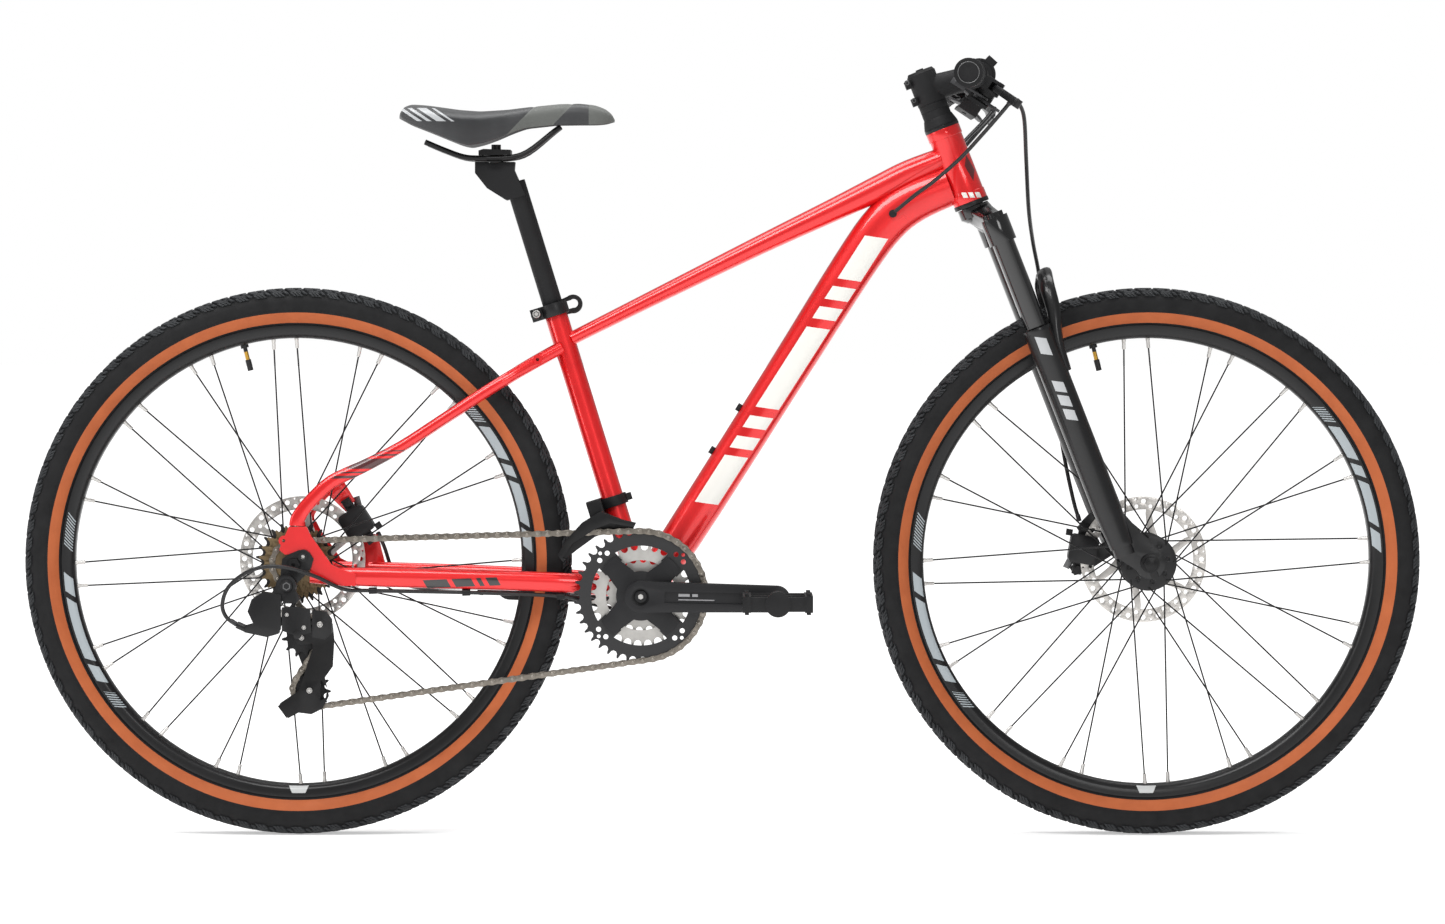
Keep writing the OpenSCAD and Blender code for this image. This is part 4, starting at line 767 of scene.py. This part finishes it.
def at_u(u):
    u %= TOTAL
    for kind, i, ln, arc in SEG:
        if u <= ln:
            f = u / ln
            if kind == "run":
                return RUN[i][0] + (RUN[i][1] - RUN[i][0]) * f
            return off(CC[(i + 1) % 4], RUN[i][2] + arc * f)
        u -= ln
    return RUN[0][0]


PINS = [at_u(i * TOTAL / LINKS) for i in range(LINKS)]


def chain_piece():
    sp = Soup()

    def plate(p, q, y0, y1, r, waist):
        c = (p + q) / 2
        d = (q - p) / np.linalg.norm(q - p)
        n = np.array([-d[1], d[0]])
        h = np.linalg.norm(q - p) / 2
        out = []
        for k in range(9):
            a = math.radians(-100 + 200 * k / 8)
            out.append(c + d * (h + r * math.cos(a)) + n * r * math.sin(a))
        out.append(c + n * waist)
        for k in range(9):
            a = math.radians(80 + 200 * k / 8)
            out.append(c + d * (-h + r * math.cos(a)) + n * r * math.sin(a))
        out.append(c - n * waist)
        m = len(out)
        cen = c
        sgn = 1 if y1 > y0 else -1
        edge = y1 - 0.18 * sgn
        v = [(x[0], y0, x[1]) for x in out] + [(x[0], edge, x[1]) for x in out] + [(cen[0] + (x[0] - cen[0]) * 0.96, y1, cen[1] + (x[1] - cen[1]) * 0.96) for x in out]
        f = [[k, (k + 1) % m, m + (k + 1) % m, m + k] for k in range(m)]
        f += [[m + k, m + (k + 1) % m, 2 * m + (k + 1) % m, 2 * m + k] for k in range(m)]
        f += [list(range(m))[::-1], [2 * m + k for k in range(m)]]
        sp.add(v, f, 0)

    for i in range(LINKS):
        p, q = PINS[i], PINS[(i + 1) % LINKS]
        for s in (-1, 1):
            if i % 2 == 0:
                plate(p, q, CY + s * 2.55, CY + s * 3.45, 4.1, 2.9)
            else:
                plate(p, q, CY + s * 1.6, CY + s * 2.5, 4.2, 3.2)
        turned(sp, (p[0], CY - 1.6, p[1]), (p[0], CY + 1.6, p[1]), [(0, 3.6), (0.25, 3.85), (2.95, 3.85), (3.2, 3.6)], 14, 1)
        turned(sp, (p[0], CY - 4.1, p[1]), (p[0], CY + 4.1, p[1]), [(0, 1.35), (0.3, 1.75), (7.9, 1.75), (8.2, 1.35)], 10, 1)
    o = make("chain_links", sp.v, sp.f, ["chain", "chain_roller"], "frame", True, sp.i, 35)
    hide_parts("chain")


chain_piece()

# ------------------------------------------------------------------ housings
C_SHIFT = [[-120, -24, 283], [-160, -33, 292], [-203, -41, 303], [-321, -51.5, 308.5], [-437, -63, 311.5], [-472, -75, 314],
           [-505, -88, 330], [-535, -101, 341], [-565, -103, 344], [-592, -101, 336], [-614, -98, 318], [-622, -95, 296], [-617, -93, 280], [-604, -93, 271]]
C_REAR = [[-120, 22, 284], [-170, 38, 299], [-240, 46, 306], [-330, 54, 308], [-392, 65, 308], [-416, 74, 318], [-425, 76, 336], [-432, 74, 358], [-440, 67, 378]]
C_BAR = [
    [[356, -150, 921], [344, -140, 906], [322, -110, 880], [297, -72, 852], [268, -45, 826], [240, -30, 805], [216, -24, 785]],
    [[352, 150, 922], [335, 130, 903], [312, 95, 880], [292, 62, 858], [264, 42, 838], [235, 30, 818], [214, 24, 800]],
    [[352, 190, 915], [338, 165, 900], [312, 110, 872], [284, 62, 842], [250, 36, 808], [222, 28, 780], [205, 25, 760]],
]
C_FRONT = [[362, -148, 920], [372, -120, 900], [378, -70, 850], [385, -10, 790], [394, 44, 748], [404, 74, 705],
           [411, 88, 645], [424, 84, 560], [436, 80, 480], [448, 72, 420], [456, 69, 392]]


def ferrule(sp, P, at_start=True, length=10.0, r=3.1):
    p, q = (P[0], P[1]) if at_start else (P[-1], P[-2])
    p, q = np.array(p, float), np.array(q, float)
    u = (q - p) / np.linalg.norm(q - p)
    turned(sp, p, p + u * length, [(0, r - 0.5), (0.5, r), (length - 0.6, r), (length, r - 0.5)], 14, 1)


sp = Soup()
for C in (C_SHIFT, C_REAR):
    P = catmull(C, 8)
    tube(sp, P, 2.5, 14, 0)
    ferrule(sp, P, True)
    ferrule(sp, P, False)
o = make("housings_rear", sp.v, sp.f, ["cable", "plastic_grey"], "frame", True, sp.i, 40)
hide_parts("rear_cables")
first = True
for k, C in enumerate(C_BAR):
    sp = Soup()
    P = catmull(C, 10)
    tube(sp, P, 2.5, 14, 0)
    ferrule(sp, P, True, 9)
    o = make("housing_bar_%d" % k, sp.v, sp.f, ["cable", "plastic_grey"], None, True, sp.i, 40)
    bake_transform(o)
    if first:
        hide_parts("bar_cables")
        first = False
sp = Soup()
P = catmull(C_FRONT, 8)
tube(sp, P, 2.5, 14, 0)
ferrule(sp, P, True, 9)
ferrule(sp, P, False, 9)
o = make("housing_front_brake", sp.v, sp.f, ["cable", "plastic_grey"], None, True, sp.i, 40)
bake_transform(o)
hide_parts("front_brake_cable")

# ------------------------------------------------------------------ padded saddle
TOP = [(-404, 905), (-402.5, 911), (-399, 917), (-392, 920.5), (-370, 919), (-329, 913.5), (-304, 912), (-270, 914.5), (-243, 918), (-205, 922), (-180, 922.4), (-160, 920),
       (-146, 914.5), (-139, 908), (-136, 902)]
BOT = [(-404, 901), (-402, 899.5), (-395, 895.5), (-360, 881), (-330, 868.5), (-317, 865.2), (-300, 869), (-284, 874.5), (-262, 884), (-246.7, 889.5), (-209, 893.5),
       (-160, 894), (-146, 895), (-136, 898)]
WID = [(-404, 44), (-403, 52), (-400, 60), (-394, 66), (-384, 71.5), (-372, 73.5), (-350, 71), (-330, 63), (-310, 51), (-290, 39.5), (-270, 32), (-240, 25), (-210, 21.5), (-180, 19.5),
       (-160, 18), (-148, 15), (-141, 10.5), (-137, 5), (-135.6, 1.2)]


def curve_at(P, x):
    xs, ys = zip(*P)
    return float(np.interp(x, xs, ys))


def soft_at(P, x, e=4.0):
    return (curve_at(P, x - e) + 2 * curve_at(P, x) + curve_at(P, x + e)) / 4 if -398 < x < -142 else curve_at(P, x)


def seam_depth(x, y, z, side):
    """How deep a sewn seam pulls the cover in at a point."""
    d = 0.0
    t = abs(y)
    lines = [abs(x - (-236 - 0.95 * (918 - z))) if x < -200 else 99, abs(x - (-190 - 0.95 * (921 - z))) if x < -165 else 99]
    for q in lines:
        d = max(d, 1.0 * math.exp(-(q / 1.5) ** 2))
    return d


def saddle():
    sp = Soup()
    xs = [-404, -403.4, -402.4, -401, -399, -396, -392, -387] + list(np.arange(-382, -146, 2.5)) + [-146, -144, -142, -140, -138.4, -137, -136, -135.6]
    cols = 44
    rows = []
    for x in xs:
        zt, zb, w = soft_at(TOP, x), soft_at(BOT, x), soft_at(WID, x)
        w = max(w, 0.8)
        side = max(zb + min(5.0, (zt - zb) * 0.45), zt - 20.0)
        dip = 4.2 * math.exp(-((x + 330) / 60) ** 2) + 1.3 * math.exp(-((x + 210) / 50) ** 2)
        row = []
        for k in range(cols + 1):
            q = -1 + 2 * k / cols  # -1 .. 1 across the top and down both skirts
            s = 1 if q >= 0 else -1
            t = abs(q)
            if t < 0.72:
                a = t / 0.72 * math.pi / 2
                p = 0.86
                y = w * math.sin(a) ** 1.0
                z = side + (zt - side) * max(0.0, math.cos(a)) ** 0.62
                z -= dip * math.exp(-(y / 7.5) ** 2)
            else:
                b = (t - 0.72) / 0.28
                y = w - (0.02 + 0.07 * w * b * b)
                z = side + (zb - side) * b
            d = seam_depth(x, y, z, s)
            # light edge bead where the cover is turned under
            bead = 0.7 * math.exp(-((t - 0.965) / 0.018) ** 2) - 0.5 * math.exp(-((t - 0.93) / 0.014) ** 2)
            row.append((x, s * max(0.0, y - d * 0.4 * (t > 0.5) + bead), z - d * (t < 0.6)))
        # underside, set in
        for k in range(9):
            q = 1 - 2 * (k + 1) / 10
            row.append((x, q * w * 0.86, zb + min(5.0, (zt - zb) * 0.3)))
        rows.append(row)
    n = len(rows[0])
    v = [p for r in rows for p in r]
    f, idx = [], []
    for i in range(len(rows) - 1):
        for k in range(n):
            f.append([i * n + k, i * n + (k + 1) % n, (i + 1) * n + (k + 1) % n, (i + 1) * n + k])
            idx.append(1 if k >= cols else 0)
    f += [list(range(n))[::-1], [(len(rows) - 1) * n + k for k in range(n)]]
    idx += [0, 0]
    sp.add(v, f, 0)
    o = make("saddle_cover", v, f, ["saddle", "plastic"], "saddle", True, idx)
    s = o.modifiers.new("sub", "SUBSURF")
    s.levels = s.render_levels = 1
    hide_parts("saddle")
    return o


def saddle_mat():
    net = Net("saddle_cover")
    x, y, z = net.xyz()
    xm, zm, ym = net.math("MULTIPLY", x, 1000.0), net.math("MULTIPLY", z, 1000.0), net.math("ABSOLUTE", net.math("MULTIPLY", y, 1000.0))
    lean = net.math("ADD", xm, net.math("MULTIPLY", net.math("SUBTRACT", 918.0, zm), 0.95))
    g1 = band(net, lean, -236.0, -190.0)
    g2 = net.math("GREATER_THAN", xm, -168.0)
    g = net.math("MAXIMUM", g1, g2)
    grain = net.noise(1400.0, 3.0, 0.6)
    vor = net.n("ShaderNodeTexVoronoi")
    vor.inputs["Scale"].default_value = 900.0
    net.put(vor.inputs["Vector"], net.obj)
    base = net.mix(net.remap(net.noise(30.0, 4.0), 0.3, 0.7, 0.0, 1.0), rgb(42, 43, 45), rgb(34, 35, 37))
    grey = net.mix(net.remap(grain, 0.35, 0.65, 0.0, 1.0), rgb(74, 76, 74), rgb(90, 92, 88))
    col = net.mix(g, base, grey)
    # two plain light chevrons on each side at the rear
    chev = net.math("ADD", xm, net.math("MULTIPLY", net.math("SUBTRACT", zm, 905.0), 1.5))
    c1 = net.steps(chev, -420, -320, [(-392, 1.0), (-386, 0.0), (-380, 1.0), (-374, 0.0), (-368, 1.0), (-356, 0.0), (-350, 1.0), (-346, 0.0)])
    c1 = mask_and(net, c1, net.math("GREATER_THAN", zm, 897.0), net.math("LESS_THAN", zm, 914.0), net.math("GREATER_THAN", ym, 40.0))
    col = net.mix(c1, col, rgb(168, 170, 172))
    net.set(Base_Color=col, Roughness=net.mixf(g, 0.46, 0.6))
    h = net.math("ADD", net.math("MULTIPLY", vor.outputs[0], 0.6), net.math("MULTIPLY", grain, 0.5))
    net.set(Normal=net.bump(h, 0.22, 0.0005))
    net.b.inputs["Sheen Weight"].default_value = 0.15
    return net.m


M["saddle"] = saddle_mat()
saddle()

# ------------------------------------------------------------------ weld bead helper, bolts and other small pieces
def weld(sp, c, axis, r1, r2, up, n=64, w=2.0):
    """A bead of overlapping coin-shaped ripples round a joint: an ellipse r1 by r2 about c, square to axis."""
    d, _, _ = frame_of(axis)
    a = np.array(up, float)
    a = a - d * (a @ d)
    a /= np.linalg.norm(a)
    b = np.cross(d, a)
    P = []
    R = []
    for k in range(n * 2 + 1):
        g = 2 * math.pi * k / (2 * n)
        P.append(np.array(c, float) + a * r1 * math.cos(g) + b * r2 * math.sin(g))
        R.append(w * (1.0 if k % 2 == 0 else 0.8))
    tube(sp, P, R, 8, 0, False)


H_ANG = math.radians(-21.4)
S_ANG = math.radians(-17.1)
HB = np.array([312.7, 0, 798.2])


def in_steer(p):
    x, y, z = p
    return HB + np.array([x * math.cos(H_ANG) + z * math.sin(H_ANG), y, -x * math.sin(H_ANG) + z * math.cos(H_ANG)])


def in_seat(p):
    x, y, z = p
    return BB + np.array([x * math.cos(S_ANG) + z * math.sin(S_ANG), y, -x * math.sin(S_ANG) + z * math.cos(S_ANG)])


def hexbolt(sp, p, q, r=3.4, head=3.0, mat=0, socket=True):
    """Round head with a hex socket from p to q."""
    p, q = np.array(p, float), np.array(q, float)
    d, a, b = frame_of(q - p)
    L = np.linalg.norm(q - p)
    turned(sp, p, q, [(0, r), (L - 0.5, r), (L, r - 0.5)], 20, mat)
    if socket:
        v, f = [], []
        for t, rr in ((L - 0.9, 0.50 * r), (L + 0.05, 0.55 * r), (L + 0.05, 0.74 * r), (L - 0.9, 0.76 * r)):
            for k in range(6):
                g = math.pi / 3 * k
                v.append(p + d * t + (a * math.cos(g) + b * math.sin(g)) * rr)
        for i in range(3):
            for k in range(6):
                f.append([i * 6 + k, i * 6 + (k + 1) % 6, (i + 1) * 6 + (k + 1) % 6, (i + 1) * 6 + k])
        sp.add(v, f, mat + 1)


def bolts(name, body, items):
    """Socket bolts on the near side: (x, y of the seat, z, radius, material pair)."""
    sp = Soup()
    for x, y, z, r, k in items:
        hexbolt(sp, (x, y + 1.5, z), (x, y - 1.8, z), r, 3.0, 2 * k)
    return make(name, sp.v, sp.f, ["silver_soft", "black_steel", "black_satin", "grey_steel"], body, True, sp.i, 35)


bolts("bolts_crank", "crank", [(-102, -81, 305, 6.4, 0)])
bolts("bolts_frame", "frame", [(-541.8, -98.5, 319.1, 7.0, 1), (-522.8, -78.5, 355.6, 4.6, 0), (-234.0, -18.4, 656.8, 5.0, 0)])
bolts("bolts_cage", "cage", [(-516, -70.8, 187, 3.6, 0), (-526, -68.5, 253, 3.4, 0)])
bolts("bolts_knuckle", "knuckle", [(-500, -104.5, 272, 3.6, 0)])
bolts("bolts_links", "mech_swing", [(-520, -103, 268, 2.6, 0), (-541, -103, 284, 2.4, 0)])
bolts("bolts_stem", "steering", [(231.9, -13, 946.8, 3.6, 1), (240.6, -13, 924.6, 3.6, 1)])
ring = Soup()
tube(ring, [np.array([292.1 + 12.6 * math.cos(2 * math.pi * k / 48), -342.4 - 1.2 * math.cos(2 * math.pi * k / 48), 945.0 + 12.6 * math.sin(2 * math.pi * k / 48)]) for k in range(49)], [0.55] * 49, 8, 0, False)
make("grip_ring_right", ring.v, ring.f, ["grey_steel"], "steering", True, None, 60)

CAM_AT = (0.0, -6.0, 0.68)
# camera
cam_data = bpy.data.cameras.new("camera")
cam = bpy.data.objects.new("camera", cam_data)
coll.objects.link(cam)
cam.location = CAM_AT
target = Vector((0.0, 0.0, 0.4702))
cam.rotation_mode = "QUATERNION"
cam.rotation_quaternion = (target - Vector(CAM_AT)).to_track_quat("-Z", "Y")
cam_data.sensor_width = 36
cam_data.lens = 118.5
cam_data.clip_start, cam_data.clip_end = 0.1, 100
bpy.context.scene.camera = cam

# floor and backdrop
fm = Net("studio_floor")
fn = fm.noise(1.2, 3.0)
fm.set(Base_Color=fm.mix(fm.remap(fn, 0.3, 0.7, 0.0, 1.0), (0.86, 0.86, 0.86, 1), (0.89, 0.89, 0.89, 1)), Roughness=0.9)
fm.b.inputs["Specular IOR Level"].default_value = 0.1
fm.b.inputs["Emission Color"].default_value = (1, 1, 1, 1)
fx, fy, fz = fm.xyz()
fm.set(Emission_Strength=fm.remap(fy, 0.9, 4.5, 0.44, 0.9))
v, f = [], []
prof = [(-14, 0), (-4, 0), (4, 0), (9.0, 0), (40.0, 0)]
for y, z in prof:
    v += [(-22.0, y, z), (22.0, y, z)]
for i in range(len(prof) - 1):
    f.append([2 * i, 2 * i + 1, 2 * i + 3, 2 * i + 2])
me = bpy.data.meshes.new("floor")
me.from_pydata(v, [], f)
me.materials.append(fm.m)
for p in me.polygons:
    p.use_smooth = True
floor = bpy.data.objects.new("floor", me)
coll.objects.link(floor)

world = bpy.data.worlds.new("studio")
bpy.context.scene.world = world
world.use_nodes = True
wt = world.node_tree
bg = wt.nodes["Background"]
bg.inputs[0].default_value = (1.0, 1.0, 1.0, 1)
bg.inputs[1].default_value = 0.34
bg2 = wt.nodes.new("ShaderNodeBackground")
bg2.inputs[0].default_value = (1.0, 1.0, 1.0, 1)
bg2.inputs[1].default_value = 1.0
lp = wt.nodes.new("ShaderNodeLightPath")
mx = wt.nodes.new("ShaderNodeMixShader")
wt.links.new(lp.outputs["Is Camera Ray"], mx.inputs[0])
wt.links.new(bg.outputs[0], mx.inputs[1])
wt.links.new(bg2.outputs[0], mx.inputs[2])
wt.links.new(mx.outputs[0], wt.nodes["World Output"].inputs[0])


def area(name, loc, aim, w, h, power):
    d = bpy.data.lights.new(name, "AREA")
    d.shape = "RECTANGLE"
    d.size, d.size_y, d.energy = w, h, power
    o = bpy.data.objects.new(name, d)
    coll.objects.link(o)
    o.location = loc
    o.rotation_mode = "QUATERNION"
    o.rotation_quaternion = (Vector(aim) - Vector(loc)).to_track_quat("-Z", "Y")
    return o


area("key", (-1.2, -2.2, 3.4), (0, 0, 0.4), 3.2, 1.0, 95)
area("top", (0.0, 0.4, 3.2), (0, 0, 0.2), 4.0, 1.4, 85)
area("front", (1.6, -5.2, 2.0), (0, 0, 0.5), 1.4, 1.4, 38)
area("left", (-4.0, -1.4, 1.6), (0, 0, 0.5), 1.0, 2.0, 26)
sc = bpy.context.scene
sc.view_settings.view_transform = "Standard"
sc.view_settings.look = "None"
sc.view_settings.exposure = 0.0
